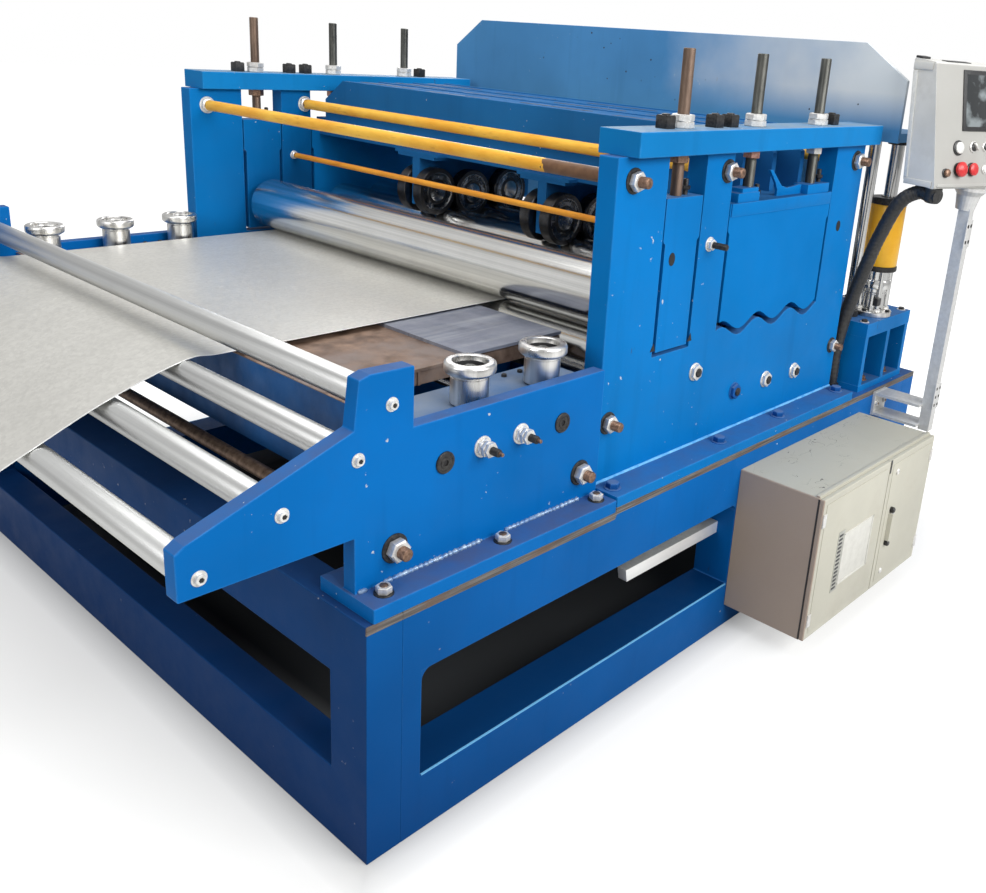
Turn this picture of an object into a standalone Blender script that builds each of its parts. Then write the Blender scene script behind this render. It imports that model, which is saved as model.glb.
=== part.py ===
"""Shearing machine: entry guide, roller leveller and hydraulic shear on one welded base frame.

Metres, +Z up. X runs along the feed and is measured from the infeed end of the base. Y = 0 is the
centre line of the machine, the near side (-Y) is the operator's, and Z = 0 is the floor.
The whole machine hangs on an empty that puts the origin under the middle of the infeed end frame.
"""

import math

import bmesh
import bpy
from mathutils import Matrix, Vector

GAP = 0.0003            # seam between two pieces that touch
RUN = 0.001             # running clearance round a rod or under a roller
OVER = 0.01             # how far a cutter or a fused piece reaches past a face

# Base frame
BASE_LENGTH = 3.40
BASE_WIDTH = 2.92
BED_TOP = 0.778         # machined top of the side frames under the entry guide
BED_STEP = 0.016        # the bed is this much higher under the leveller and the shear
SIDE_BEAM = 0.165       # width of a side frame
END_BEAM = 0.12         # thickness of an end frame
SIDE_WINDOW_LOW = 0.20
SIDE_WINDOW_HIGH = 0.56
END_WINDOW_LOW = 0.246
END_WINDOW_HIGH = 0.57
CORNER_COLUMN = 0.19
MIDDLE_COLUMN = 0.19
MIDDLE_COLUMN_X = 1.80
CROSS_BEAM_X = 1.00
CROSS_BEAM_WIDTH = 0.14
CROSS_BEAM_HEIGHT = 0.20

# Entry guide
INFEED_END = 1.018      # where the foot plate of the entry guide ends
FOOT_START = 0.024
FOOT_WIDTH = 0.24
INFEED_FOOT = 0.044
INFEED_PLATE = 0.05
INFEED_FACE = 1.365     # outer face of the side plate, from the centre line
ARM_TIP_X = -0.449
ARM_LOW = 0.994
ARM_TIP_TOP = 1.115
ARM_ROOT_X = 0.034
PLATE_TOP = 1.255
LUG_TOP = 1.432
LUG_FRONT = 0.050
LUG_BACK = 0.226
ROLLER_R = 0.040
ROLLER_JOURNAL_R = 0.014
ENTRY_ROLLERS = ((-0.394, 1.039), (-0.177, 1.126), (0.046, 1.208))
HOLDDOWN_ROLLER = (0.153, 1.336)
TIE_R = 0.022
INFEED_TIES = ((0.165, 0.915), (0.925, 0.919))
GUIDE_BAR_X = (0.339, 0.823)
GUIDE_BAR_Z = 1.12
GUIDE_BAR_R = 0.030
CARRIER_START = 0.29
CARRIER_END = 1.005
CARRIER_WIDTH = 0.21
CARRIER_TOP = 1.218
CARRIER_PLATE = 0.03
CARRIER_BLOCK = 0.11
CARRIER_SIDE_GAP = 0.006
GUIDE_ROLLER_LINE = 1.25        # guide rollers' axes, from the centre line
GUIDE_ROLLERS_NEAR = (0.53, 0.84)
GUIDE_ROLLERS_FAR = (0.335, 0.64, 0.945)
GUIDE_ROLLER_CAP_R = 0.078
GUIDE_ROLLER_R = 0.050
GUIDE_ROLLER_HEIGHT = 0.135
GUIDE_TRAVEL = 0.15             # how far the near carrier can be set inwards
APRON_X = 0.232
APRON_LOW = 0.95
APRON_TOP = 1.230
TABLE_SIDE_GAP = 0.009          # what the carriers clear the table by when they are set inwards
TABLE_STEP_X = 0.80
TABLE_END = 1.27
TABLE_TOP = 1.242
TABLE_PLATE = 0.012
TABLE_BEAM = 0.07
TABLE_RIBS_X = (0.60, 1.10)
TABLE_LIP_X = 0.332             # where the lips under the table's sides start

# Strip of sheet metal that is threaded through the machine
STRIP_TOP = 1.2505
STRIP = 0.002
STRIP_NEAR = -0.50
STRIP_FAR = 1.16
STRIP_SLOPES = (25, 21, 7)      # slope of the strip over each entry roller, in degrees
STRIP_LIFTS = (0.001, 0.010, 0.0)       # how far the bent strip stands off each of them
STRIP_TAIL = 0.10               # what hangs past the first roller
STRIP_END_X = 2.95

# Leveller
LEVELLER_START = 1.021
LEVELLER_END = 2.715
LEVELLER_FOOT = 0.038
HOUSING_FACE = 1.34
HOUSING_PLATE = 0.08
HOUSING_FRONT = 1.035
HOUSING_BACK = 2.71
HOUSING_TOP = 1.930
PINCH_SLOT = (1.30, 1.52)
SLOT_FLOOR = 1.236
BANK_SLOT = (1.69, 2.46)
WAVE_MIDDLE = 1.263
WAVE_HEIGHT = 0.024
WAVE_PITCH = 0.255
WAVE_GAP = 0.024
CHOCK_SIDE_GAP = 0.006          # sliding gap of the upper, wide part of a chock
CHOCK_GROOVE = 0.018            # dark groove beside the lower part of a chock
GROOVE_TOP = 1.642
GROOVE_BEVEL = 0.012
PINCH_CHOCK_TOP = 1.786
BANK_CHOCK_TOP = 1.742
CAP_START = 1.08
CAP_END = 2.755
CAP_HEIGHT = 0.08
CAP_OVERHANG = 0.045
CAP_WIDTH = 0.17
CAP_CLEAR = 0.015               # between a cap bar and the frame of the roll bank
SCREW_R = 0.020
SCREW_LINE = 1.300              # screws' axes, from the centre line
PINCH_SCREW_X = 1.405
BANK_SCREWS_X = (1.86, 2.33)
SCREW_TOP = 2.262
PINCH_X = 1.42
PINCH_R = 0.12
WORK_R = 0.10
UPPER_ROLLS = 3
ROLL_JOURNAL_R = 0.05
ROLL_NECK = 0.05
STRIP_CLEAR = 0.005             # daylight between the strip and each leveller roll
FRONT_TIE = (1.12, 1.855)
MIDDLE_TIE = (1.655, 1.862)
THIN_TIE = (1.585, 1.607)
REAR_TIE = (2.640, 1.862)
LONG_TIE_R = 0.024
THIN_TIE_R = 0.013
TIE_COLLAR_R = 0.040
TIE_COLLAR = 0.022

# Upper roll bank: frame on top, with brackets for the backup rollers
BANK_FRAME_START = 1.74
BANK_FRAME_END = 2.44
BANK_FRAME_TOP = 1.992
BANK_RIB = 0.03
BANK_RIBS = 4
BANK_CHAMFER_Y = 0.15
BANK_CHAMFER_Z = 0.10
BANK_DECK = 0.018
BANK_SOLE = 0.028
BRACKETS_Y = (-0.41, 0.41)
BRACKET_START = 1.685
BRACKET_END = 2.43
BRACKET_FLANGE = 0.30           # upper plate of a bracket
BRACKET_BAR = 0.26              # bar under it
BRACKET_PLATE = 0.014
BRACKET_STEM = 0.05
BRACKET_TOP = 1.722
BRACKET_LOW = 1.475
BACKUP_R = 0.110
BACKUP_WIDTH = 0.055
BACKUP_SIDE_GAP = 0.005         # between a backup roller's disc and the web of its bracket
BACKUP_LEAD = 0.098             # the first backup rollers run this far ahead of the first work roll
BACKUP_SHAFT_R = 0.022

# Shear
PEDESTAL_START = 2.83
PEDESTAL_LENGTH = 0.46
PEDESTAL_NEAR = 1.43            # outer face, from the centre line
PEDESTAL_DEPTH = 0.36
PEDESTAL_TOP = 1.125
PEDESTAL_SLAB = 0.065
PEDESTAL_RIB = 0.03
COLUMN_X = 2.92
COLUMN_LINE = 1.285
COLUMN_R = 0.026
COLUMN_TOP = 2.06
CYLINDER_X = 3.05
CYLINDER_LINE = 1.335
CYLINDER_R = 0.080
CYLINDER_FOOT = 0.235
CYLINDER_BARREL = 0.32
PISTON_R = 0.030
STROKE = 0.095
BEAM_LOW = 1.938
BEAM_HEIGHT = 0.405
BEAM_CORNER_Y = 0.21
BEAM_CORNER_Z = 0.145
BEAM_END = 0.09                 # from a cylinder's axis to the end of the beam
BEAM_PLATE = 0.022
BEAM_DEPTH = 0.40
BEAM_SOLE = 0.04
BEAM_REAR_HALF = 1.20
BEAM_REAR_HEIGHT = 0.20
BEAM_TIES_Y = (-0.95, 0.0, 0.95)
RAM_X = 3.045
RAM_PLATE = 0.06
RAM_HALF = 1.03
RAM_RIBS_Y = (-0.9, -0.3, 0.3, 0.9)
RAM_RIB_DEPTH = 0.13
RAM_RIB_LIFT = 0.20             # how far above the blade's edge the ribs start
BLADE_OPENING = 0.085
BLADE_PLATE = 0.03
BLADE_HEIGHT = 0.09
LOWER_BEAM_X = 3.085
LOWER_BEAM_DEPTH = 0.14
LOWER_BEAM_WEB = 0.05

# Electrical cabinet on the near side
CABINET_START = 1.80
CABINET_LENGTH = 1.02
CABINET_LOW = 0.10
CABINET_HEIGHT = 0.61
CABINET_DEPTH = 0.348
CABINET_WALL = 0.006
CABINET_SPLIT = 0.575
DOOR = 0.02
DOOR_SEAM = 0.004
HANDLE_LENGTH = 0.13
HANDLE_X = 0.075

# Control pendant on its post
POST_X = 3.005
POST_STANDOFF = 0.25            # from the side frame to the axis of the post
POST_SIZE = 0.05
POST_LOW = 0.655
POST_PLATE = 0.012
POST_PLATES_Z = (0.670, 0.768)
POST_PLATE_HALF = 0.06
NECK_R = 0.045
NECK_TOP_R = 0.070
NECK = 0.10
PENDANT_X = 3.003
PENDANT_STANDOFF = 0.208        # from the side frame to the middle of the box
PENDANT_LOW = 1.780
PENDANT_TURN = -16              # degrees about the upright, towards the infeed
PENDANT_WIDTH = 0.56
PENDANT_SIDE = ((-0.080, 0.0), (0.086, 0.017), (0.130, 0.516), (0.016, 0.502))
PENDANT_RADIUS = 0.012
CONDUIT_R = 0.031
CONDUIT_INSET = 0.045           # from the left side of the box to the conduit under it

SIDES = (("near", -1), ("far", 1))
HALF = BASE_WIDTH / 2
LEVELLER_BED = BED_TOP + BED_STEP
INFEED_INNER = INFEED_FACE - INFEED_PLATE
CARRIER_OUTER = INFEED_INNER - CARRIER_SIDE_GAP
TABLE_HALF = CARRIER_OUTER - CARRIER_WIDTH - GUIDE_TRAVEL - TABLE_SIDE_GAP
BANK_HALF = HOUSING_FACE + CAP_OVERHANG - CAP_WIDTH - CAP_CLEAR
BEAM_HALF = CYLINDER_LINE + BEAM_END
BEAM_TOP = BEAM_LOW + BEAM_HEIGHT
POST_LINE = HALF + POST_STANDOFF
PENDANT_LINE = HALF + PENDANT_STANDOFF
HOUSING_INNER = HOUSING_FACE - HOUSING_PLATE
UPPER_WORK_Z = STRIP_TOP + STRIP_CLEAR + WORK_R
LOWER_WORK_Z = STRIP_TOP - STRIP - STRIP_CLEAR - WORK_R
UPPER_PINCH_Z = STRIP_TOP + STRIP_CLEAR + PINCH_R
LOWER_PINCH_Z = STRIP_TOP - STRIP - STRIP_CLEAR - PINCH_R
FIRST_TROUGH = 1.853
UPPER_ROLLS_X = [FIRST_TROUGH + i * WAVE_PITCH for i in range(UPPER_ROLLS)]
LOWER_ROLLS_X = [x + WAVE_PITCH / 2 for x in UPPER_ROLLS_X[:-1]]
BACKUPS_X = [FIRST_TROUGH - BACKUP_LEAD] + LOWER_ROLLS_X

BLUE = ("machine_blue", (0.018, 0.135, 0.46), 0.35, 0.1)
RAW = ("raw_steel", (0.20, 0.16, 0.13), 0.55, 0.6)
GALVANISED = ("galvanised_sheet", (0.58, 0.59, 0.58), 0.38, 0.85)
CHROME = ("roll_chrome", (0.62, 0.62, 0.61), 0.18, 1.0)
YELLOW = ("rod_yellow", (0.80, 0.42, 0.04), 0.45, 0.0)
CABINET = ("cabinet_grey", (0.58, 0.57, 0.50), 0.5, 0.0)
PENDANT = ("pendant_grey", (0.66, 0.66, 0.64), 0.4, 0.1)
RUBBER = ("black_rubber", (0.02, 0.02, 0.02), 0.6, 0.0)
ORANGE = ("cylinder_yellow", (0.83, 0.45, 0.03), 0.4, 0.0)


def clear_scene():
    """Empty the scene and make the two collections and the empty that carries the machine."""
    for old in list(bpy.data.objects):
        bpy.data.objects.remove(old)
    made = []
    for title in ("shearing_machine", "cutters"):
        group = bpy.data.collections.new(title)
        bpy.context.scene.collection.children.link(group)
        made.append(group)
    carrier = bpy.data.objects.new("machine", None)
    carrier.location = (-END_BEAM / 2, 0.0, 0.0)
    made[0].objects.link(carrier)
    return made[0], made[1], carrier


PARTS, CUTTERS, MACHINE = clear_scene()


def material(spec):
    """A Principled material from its name, colour, roughness and metallic value."""
    name, colour, roughness, metallic = spec
    found = bpy.data.materials.get(name)
    if found:
        return found
    made = bpy.data.materials.new(name)
    made.use_nodes = True
    shader = made.node_tree.nodes["Principled BSDF"]
    shader.inputs["Base Color"].default_value = (*colour, 1.0)
    shader.inputs["Roughness"].default_value = roughness
    shader.inputs["Metallic"].default_value = metallic
    return made


def adopt(obj, name, spec):
    """Name an object, give it its material and hang it on the machine."""
    obj.name = name
    obj.data.name = name
    obj.data.materials.clear()
    obj.data.materials.append(material(spec))
    for group in list(obj.users_collection):
        group.objects.unlink(obj)
    PARTS.objects.link(obj)
    obj.parent = MACHINE
    return obj


def as_cutter(obj):
    """Turn an object into a hidden helper of a Boolean."""
    for group in list(obj.users_collection):
        group.objects.unlink(obj)
    CUTTERS.objects.link(obj)
    obj.parent = MACHINE
    obj.hide_render = True
    obj.display_type = "WIRE"
    return obj


def boolean(target, helper, operation):
    """Add an exact Boolean of a helper to a target."""
    step = target.modifiers.new(operation.lower(), "BOOLEAN")
    step.operation = operation
    step.solver = "EXACT"
    step.object = as_cutter(helper)
    return target


def fuse(target, helpers):
    """Weld the helpers onto the target."""
    for helper in helpers:
        boolean(target, helper, "UNION")
    return target


def cut(target, helpers):
    """Cut the helpers out of the target."""
    for helper in helpers:
        boolean(target, helper, "DIFFERENCE")
    return target


def box(x, y, z):
    """A box between two limits on each axis."""
    bpy.ops.mesh.primitive_cube_add(size=1.0)
    made = bpy.context.object
    sizes = [abs(pair[1] - pair[0]) for pair in (x, y, z)]
    middles = [(pair[0] + pair[1]) / 2 for pair in (x, y, z)]
    made.data.transform(Matrix.LocRotScale(Vector(middles), None, Vector(sizes)))
    return made


def span(side, outer, inner):
    """Y limits of a piece between two distances from the centre line."""
    return sorted((side * outer, side * inner))


TURN = {
    "X": Matrix.Rotation(math.radians(90), 4, "Y"),
    "Y": Matrix.Rotation(math.radians(-90), 4, "X"),
    "Z": Matrix.Identity(4),
}


def rod(axis, centre, radius, length, sides=20):
    """A cylinder along an axis, from its centre."""
    mesh = bpy.data.meshes.new("rod")
    work = bmesh.new()
    bmesh.ops.create_cone(work, cap_ends=True, segments=sides, radius1=radius, radius2=radius,
                          depth=length, matrix=Matrix.Translation(centre) @ TURN[axis])
    work.to_mesh(mesh)
    work.free()
    made = bpy.data.objects.new("rod", mesh)
    PARTS.objects.link(made)
    return made


def turned(axis, centre, profile, steps=28):
    """A turned piece: (distance along the axis, radius) pairs spun about the axis through a centre."""
    points = profile[::-1]
    mesh = bpy.data.meshes.new("turned")
    ends = [(0.0, points[0][0])] + [(r, d) for d, r in points] + [(0.0, points[-1][0])]
    mesh.from_pydata([(r, 0.0, d) for r, d in ends], [(i, i + 1) for i in range(len(ends) - 1)], [])
    made = bpy.data.objects.new("turned", mesh)
    PARTS.objects.link(made)
    made.matrix_local = Matrix.Translation(centre) @ TURN[axis]
    spin = made.modifiers.new("spin", "SCREW")
    spin.axis = "Z"
    spin.steps = steps
    spin.render_steps = steps
    spin.use_merge_vertices = True
    spin.merge_threshold = 0.00001
    spin.use_smooth_shade = True
    return made


def rounded(points, radius, steps=4):
    """The outline through some points with each corner rounded by an arc of short chords."""
    made = []
    count = len(points)
    for i, here in enumerate(points):
        corner = Vector(here)
        back = (Vector(points[i - 1]) - corner)
        ahead = (Vector(points[(i + 1) % count]) - corner)
        half = back.angle(ahead) / 2
        reach = min(radius / math.tan(half), back.length * 0.49, ahead.length * 0.49)
        start = corner + back.normalized() * reach
        end = corner + ahead.normalized() * reach
        for k in range(steps + 1):
            t = k / steps
            near = start.lerp(corner, t)
            far = corner.lerp(end, t)
            made.append(tuple(near.lerp(far, t)))
    return made


def rectangle(u, v):
    """Corners of a rectangle."""
    return [(u[0], v[0]), (u[1], v[0]), (u[1], v[1]), (u[0], v[1])]


PLANES = {
    "XZ": Matrix.Rotation(math.radians(90), 4, "X"),
    "YZ": Matrix.Rotation(math.radians(90), 4, "Z") @ Matrix.Rotation(math.radians(90), 4, "X"),
    "XY": Matrix.Identity(4),
}


def plate(plane, outline, across, holes=()):
    """A flat plate: an outline with holes, extruded between two places across its plane."""
    shape = bpy.data.curves.new("plate", "CURVE")
    shape.dimensions = "2D"
    shape.fill_mode = "BOTH"
    shape.extrude = abs(across[1] - across[0]) / 2
    for ring in (outline, *holes):
        line = shape.splines.new("POLY")
        line.points.add(len(ring) - 1)
        for point, (u, v) in zip(line.points, ring):
            point.co = (u, v, 0.0, 1.0)
        line.use_cyclic_u = True
    drawn = bpy.data.objects.new("plate", shape)
    PARTS.objects.link(drawn)
    middle = (across[0] + across[1]) / 2
    shift = {"XZ": (0, middle, 0), "YZ": (middle, 0, 0), "XY": (0, 0, middle)}[plane]
    bpy.context.view_layer.update()
    solid = bpy.data.meshes.new_from_object(drawn.evaluated_get(bpy.context.evaluated_depsgraph_get()))
    bpy.data.objects.remove(drawn)
    solid.transform(Matrix.Translation(shift) @ PLANES[plane])
    work = bmesh.new()
    work.from_mesh(solid)
    bmesh.ops.remove_doubles(work, verts=work.verts, dist=0.00001)
    bmesh.ops.recalc_face_normals(work, faces=work.faces)
    work.to_mesh(solid)
    work.free()
    made = bpy.data.objects.new("plate", solid)
    PARTS.objects.link(made)
    return made


def tube(points, radius, sides=2):
    """A bent tube along some points."""
    shape = bpy.data.curves.new("tube", "CURVE")
    shape.dimensions = "3D"
    shape.bevel_depth = radius
    shape.bevel_resolution = sides
    shape.use_fill_caps = True
    line = shape.splines.new("POLY")
    line.points.add(len(points) - 1)
    for point, place in zip(line.points, points):
        point.co = (*place, 1.0)
    made = bpy.data.objects.new("tube", shape)
    PARTS.objects.link(made)
    return made


def smooth_route(knots, steps=5):
    """A smooth curve through some knots, as points for a tube."""
    places = [Vector(knot) for knot in knots]
    padded = [places[0] * 2 - places[1]] + places + [places[-1] * 2 - places[-2]]
    made = []
    for i in range(1, len(padded) - 2):
        before, here, there, after = padded[i - 1:i + 3]
        for k in range(steps):
            t = k / steps
            bend = (here * 2 + (there - before) * t
                    + (before * 2 - here * 5 + there * 4 - after) * t ** 2
                    + (here * 3 - before - there * 3 + after) * t ** 3) * 0.5
            made.append(tuple(bend))
    made.append(tuple(places[-1]))
    return made


def wave(x):
    """Height of the wavy seam between the upper and the lower roll bank."""
    return WAVE_MIDDLE - WAVE_HEIGHT * math.cos(2 * math.pi * (x - FIRST_TROUGH) / WAVE_PITCH)


def wave_line(start, end, lift, steps=30):
    """Points along the wavy seam."""
    places = [start + (end - start) * k / steps for k in range(steps + 1)]
    return [(x, wave(x) + lift) for x in places]


def make_base():
    """Welded base: two side frames with windows, two end frames and a cross beam."""
    side_start = END_BEAM + GAP
    side_end = BASE_LENGTH - END_BEAM - GAP
    windows = (
        (CORNER_COLUMN, MIDDLE_COLUMN_X),
        (MIDDLE_COLUMN_X + MIDDLE_COLUMN, BASE_LENGTH - CORNER_COLUMN),
    )
    step_x = (INFEED_END + LEVELLER_START) / 2
    outline = [(side_start, 0), (side_end, 0), (side_end, LEVELLER_BED), (step_x, LEVELLER_BED),
               (step_x, BED_TOP), (side_start, BED_TOP)]
    for name, side in SIDES:
        holes = [rectangle(window, (SIDE_WINDOW_LOW, SIDE_WINDOW_HIGH)) for window in windows]
        frame = plate("XZ", outline, span(side, HALF, HALF - SIDE_BEAM), holes)
        adopt(frame, f"base_side_{name}", BLUE)
    window = rectangle((-HALF + SIDE_BEAM, HALF - SIDE_BEAM), (END_WINDOW_LOW, END_WINDOW_HIGH))
    for name, start, top in (("infeed", 0.0, BED_TOP),
                             ("outfeed", BASE_LENGTH - END_BEAM, LEVELLER_BED)):
        frame = plate("YZ", rectangle((-HALF, HALF), (0, top)), (start, start + END_BEAM), [window])
        adopt(frame, f"base_end_{name}", BLUE)
    beam = box((CROSS_BEAM_X, CROSS_BEAM_X + CROSS_BEAM_WIDTH),
               (-HALF + SIDE_BEAM + GAP, HALF - SIDE_BEAM - GAP),
               (BED_TOP - CROSS_BEAM_HEIGHT, BED_TOP))
    adopt(beam, "base_cross_beam", BLUE)


def make_infeed_sides():
    """Side plates of the entry guide, each with its arm, its lug and its foot plate."""
    foot_top = BED_TOP + GAP + INFEED_FOOT
    outline = [(ARM_ROOT_X, foot_top - OVER), (INFEED_END - GAP, foot_top - OVER),
               (INFEED_END - GAP, PLATE_TOP), (LUG_BACK, PLATE_TOP), (LUG_BACK, LUG_TOP - 0.004),
               (LUG_FRONT + 0.034, LUG_TOP), (LUG_FRONT, LUG_TOP - 0.010), (ARM_ROOT_X, 1.290),
               (ARM_TIP_X + 0.025, ARM_TIP_TOP + 0.016), (ARM_TIP_X, ARM_TIP_TOP),
               (ARM_TIP_X, ARM_LOW), (ARM_ROOT_X, ARM_LOW - 0.006)]
    for name, side in SIDES:
        wall = plate("XZ", outline, span(side, INFEED_FACE, INFEED_INNER))
        foot = box((FOOT_START, INFEED_END - GAP), span(side, HALF, HALF - FOOT_WIDTH),
                   (BED_TOP + GAP, foot_top))
        fuse(wall, [foot])
        adopt(wall, f"infeed_side_{name}", BLUE)


def make_entry_rollers():
    """Rollers between the arms, and the hold-down roller between the lugs."""
    tube_half = INFEED_INNER - 0.018
    profile = [(-INFEED_INNER + GAP, ROLLER_JOURNAL_R), (-tube_half, ROLLER_JOURNAL_R),
               (-tube_half, ROLLER_R), (tube_half, ROLLER_R), (tube_half, ROLLER_JOURNAL_R),
               (INFEED_INNER - GAP, ROLLER_JOURNAL_R)]
    names = [f"entry_roller_{i + 1}" for i in range(len(ENTRY_ROLLERS))] + ["holddown_roller"]
    for name, (x, z) in zip(names, (*ENTRY_ROLLERS, HOLDDOWN_ROLLER)):
        adopt(turned("Y", (x, 0, z), profile, 18), name, CHROME)


def tie_profile(half, radius, collar_radius):
    """A tie rod that seats with a collar against the plate at each end."""
    return [(-half, collar_radius), (-half + TIE_COLLAR, collar_radius), (-half + TIE_COLLAR, radius),
            (half - TIE_COLLAR, radius), (half - TIE_COLLAR, collar_radius), (half, collar_radius)]


def make_tie_rods():
    """Rods that hold the two sides of the entry guide and of the leveller apart."""
    infeed = tie_profile(INFEED_INNER - GAP, TIE_R, TIE_COLLAR_R)
    for name, (x, z) in zip(("front", "rear"), INFEED_TIES):
        adopt(turned("Y", (x, 0, z), infeed, 16), f"infeed_tie_{name}", RAW)
    half = HOUSING_INNER - GAP
    rods = (("tie_rod_front", FRONT_TIE, LONG_TIE_R, TIE_COLLAR_R),
            ("tie_rod_middle", MIDDLE_TIE, LONG_TIE_R, TIE_COLLAR_R),
            ("tie_rod_thin", THIN_TIE, THIN_TIE_R, THIN_TIE_R * 1.7),
            ("tie_rod_rear", REAR_TIE, LONG_TIE_R, TIE_COLLAR_R))
    for name, (x, z), radius, collar in rods:
        adopt(turned("Y", (x, 0, z), tie_profile(half, radius, collar), 20), name, YELLOW)


def make_guides():
    """Two guide bars across the entry guide, and the carriers with their upright rollers."""
    half = INFEED_INNER - GAP
    for name, x in zip(("front", "rear"), GUIDE_BAR_X):
        bar = turned("Y", (x, 0, GUIDE_BAR_Z), [(-half, GUIDE_BAR_R), (half, GUIDE_BAR_R)], 18)
        adopt(bar, f"guide_bar_{name}", CHROME)
    outer = CARRIER_OUTER
    rows = {"near": GUIDE_ROLLERS_NEAR, "far": GUIDE_ROLLERS_FAR}
    for name, side in SIDES:
        deck = box((CARRIER_START, CARRIER_END), span(side, outer, outer - CARRIER_WIDTH),
                   (CARRIER_TOP - CARRIER_PLATE, CARRIER_TOP))
        blocks = [box((x - CARRIER_BLOCK / 2, x + CARRIER_BLOCK / 2),
                      span(side, outer - OVER, outer - CARRIER_WIDTH + OVER),
                      (GUIDE_BAR_Z - CARRIER_BLOCK / 2, CARRIER_TOP - CARRIER_PLATE / 2))
                  for x in GUIDE_BAR_X]
        fuse(deck, blocks)
        cut(deck, [rod("Y", (x, side * outer, GUIDE_BAR_Z), GUIDE_BAR_R + RUN, 1.0, 18)
                   for x in GUIDE_BAR_X])
        adopt(deck, f"guide_carrier_{name}", BLUE)
        for i, x in enumerate(rows[name]):
            make_guide_roller(f"guide_roller_{name}_{i + 1}", x, side * GUIDE_ROLLER_LINE)


def make_guide_roller(name, x, y):
    """An upright guide roller: a grooved drum under a wide cap with a hollow top."""
    h = GUIDE_ROLLER_HEIGHT
    profile = [(0.0, 0.030), (0.004, 0.030), (0.004, GUIDE_ROLLER_R), (h * 0.62, GUIDE_ROLLER_R),
               (h * 0.70, GUIDE_ROLLER_R + 0.010), (h * 0.78, GUIDE_ROLLER_CAP_R),
               (h * 0.95, GUIDE_ROLLER_CAP_R), (h, GUIDE_ROLLER_CAP_R - 0.008),
               (h, 0.050), (h - 0.022, 0.046)]
    adopt(turned("Z", (x, y, CARRIER_TOP + GAP), profile, 18), name, CHROME)


def make_table():
    """Entry table: an apron behind the rollers, two beams and two overlapping plates."""
    half = INFEED_INNER - GAP
    apron = box((APRON_X, APRON_X + TABLE_PLATE), (-half, half), (APRON_LOW, APRON_TOP))
    front = box((APRON_X, TABLE_STEP_X + OVER), (-TABLE_HALF, TABLE_HALF),
                (TABLE_TOP - 2 * TABLE_PLATE, TABLE_TOP - TABLE_PLATE))
    back = box((TABLE_STEP_X, TABLE_END), (-TABLE_HALF, TABLE_HALF),
               (TABLE_TOP - TABLE_PLATE - 0.001, TABLE_TOP))
    ribs = [box((x - TABLE_PLATE / 2, x + TABLE_PLATE / 2), (-TABLE_HALF, TABLE_HALF),
                (TABLE_TOP - TABLE_BEAM, TABLE_TOP - TABLE_PLATE * 1.5)) for x in TABLE_RIBS_X]
    lip = [box((TABLE_LIP_X, TABLE_END), (y - TABLE_PLATE / 2, y + TABLE_PLATE / 2),
               (TABLE_TOP - TABLE_BEAM, TABLE_TOP - TABLE_PLATE * 1.5))
           for y in (-TABLE_HALF + TABLE_PLATE, TABLE_HALF - TABLE_PLATE)]
    fuse(front, [apron, back, *ribs, *lip])
    adopt(front, "entry_table", RAW)


def roller_contact(axis, slope, lift, along=0.0):
    """Where the underside of the sloping strip passes a roller, or a way further down the slope."""
    reach = ROLLER_R + RUN + lift
    angle = math.radians(slope)
    return (axis[0] - reach * math.sin(angle) - along * math.cos(angle), 0,
            axis[1] + reach * math.cos(angle) - along * math.sin(angle))


def make_strip():
    """Strip of sheet that runs over the entry rollers and through the leveller."""
    under = STRIP_TOP - STRIP
    tail = roller_contact(ENTRY_ROLLERS[0], STRIP_SLOPES[0], STRIP_LIFTS[0], STRIP_TAIL)
    contacts = [roller_contact(*passed) for passed in zip(ENTRY_ROLLERS, STRIP_SLOPES, STRIP_LIFTS)]
    flat_from = HOLDDOWN_ROLLER[0]
    knots = [tail, *contacts, (flat_from, 0, under), (flat_from + 0.2, 0, under)]
    lower = [(x, z) for x, _, z in smooth_route(knots, 6)] + [(STRIP_END_X, under)]
    upper = [(x, z + STRIP) for x, z in lower]
    sheet = plate("XZ", lower + upper[::-1], (STRIP_NEAR, STRIP_FAR))
    adopt(sheet, "sheet_strip", GALVANISED)


def make_housings():
    """Slotted housings of the leveller on their foot plates, and the bars that cap them."""
    foot_top = LEVELLER_BED + GAP + LEVELLER_FOOT
    floor_z = foot_top - OVER
    seam = wave_line(*BANK_SLOT, -WAVE_GAP / 2)
    outline = [(HOUSING_FRONT, floor_z), (HOUSING_BACK, floor_z), (HOUSING_BACK, HOUSING_TOP),
               (BANK_SLOT[1], HOUSING_TOP), *seam[::-1], (BANK_SLOT[0], HOUSING_TOP),
               (PINCH_SLOT[1], HOUSING_TOP), (PINCH_SLOT[1], SLOT_FLOOR),
               (PINCH_SLOT[0], SLOT_FLOOR), (PINCH_SLOT[0], HOUSING_TOP),
               (HOUSING_FRONT, HOUSING_TOP)]
    for name, side in SIDES:
        wall = plate("XZ", outline, span(side, HOUSING_FACE, HOUSING_INNER))
        foot = box((LEVELLER_START, LEVELLER_END), span(side, HALF, HALF - FOOT_WIDTH),
                   (LEVELLER_BED + GAP, foot_top))
        fuse(wall, [foot])
        adopt(wall, f"housing_{name}", BLUE)
        outer = HOUSING_FACE + CAP_OVERHANG
        cap = box((CAP_START, CAP_END), span(side, outer, outer - CAP_WIDTH),
                  (HOUSING_TOP + GAP, HOUSING_TOP + CAP_HEIGHT))
        cut(cap, [rod("Z", (x, side * SCREW_LINE, HOUSING_TOP + CAP_HEIGHT / 2), SCREW_R + RUN,
                      CAP_HEIGHT * 2) for x in (PINCH_SCREW_X, *BANK_SCREWS_X)])
        adopt(cap, f"cap_bar_{name}", BLUE)


def screw(x, side, low):
    """An adjusting screw that stands on a chock and passes through the cap bar."""
    length = SCREW_TOP - low
    return rod("Z", (x, side * SCREW_LINE, low + length / 2), SCREW_R, length)


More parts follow.
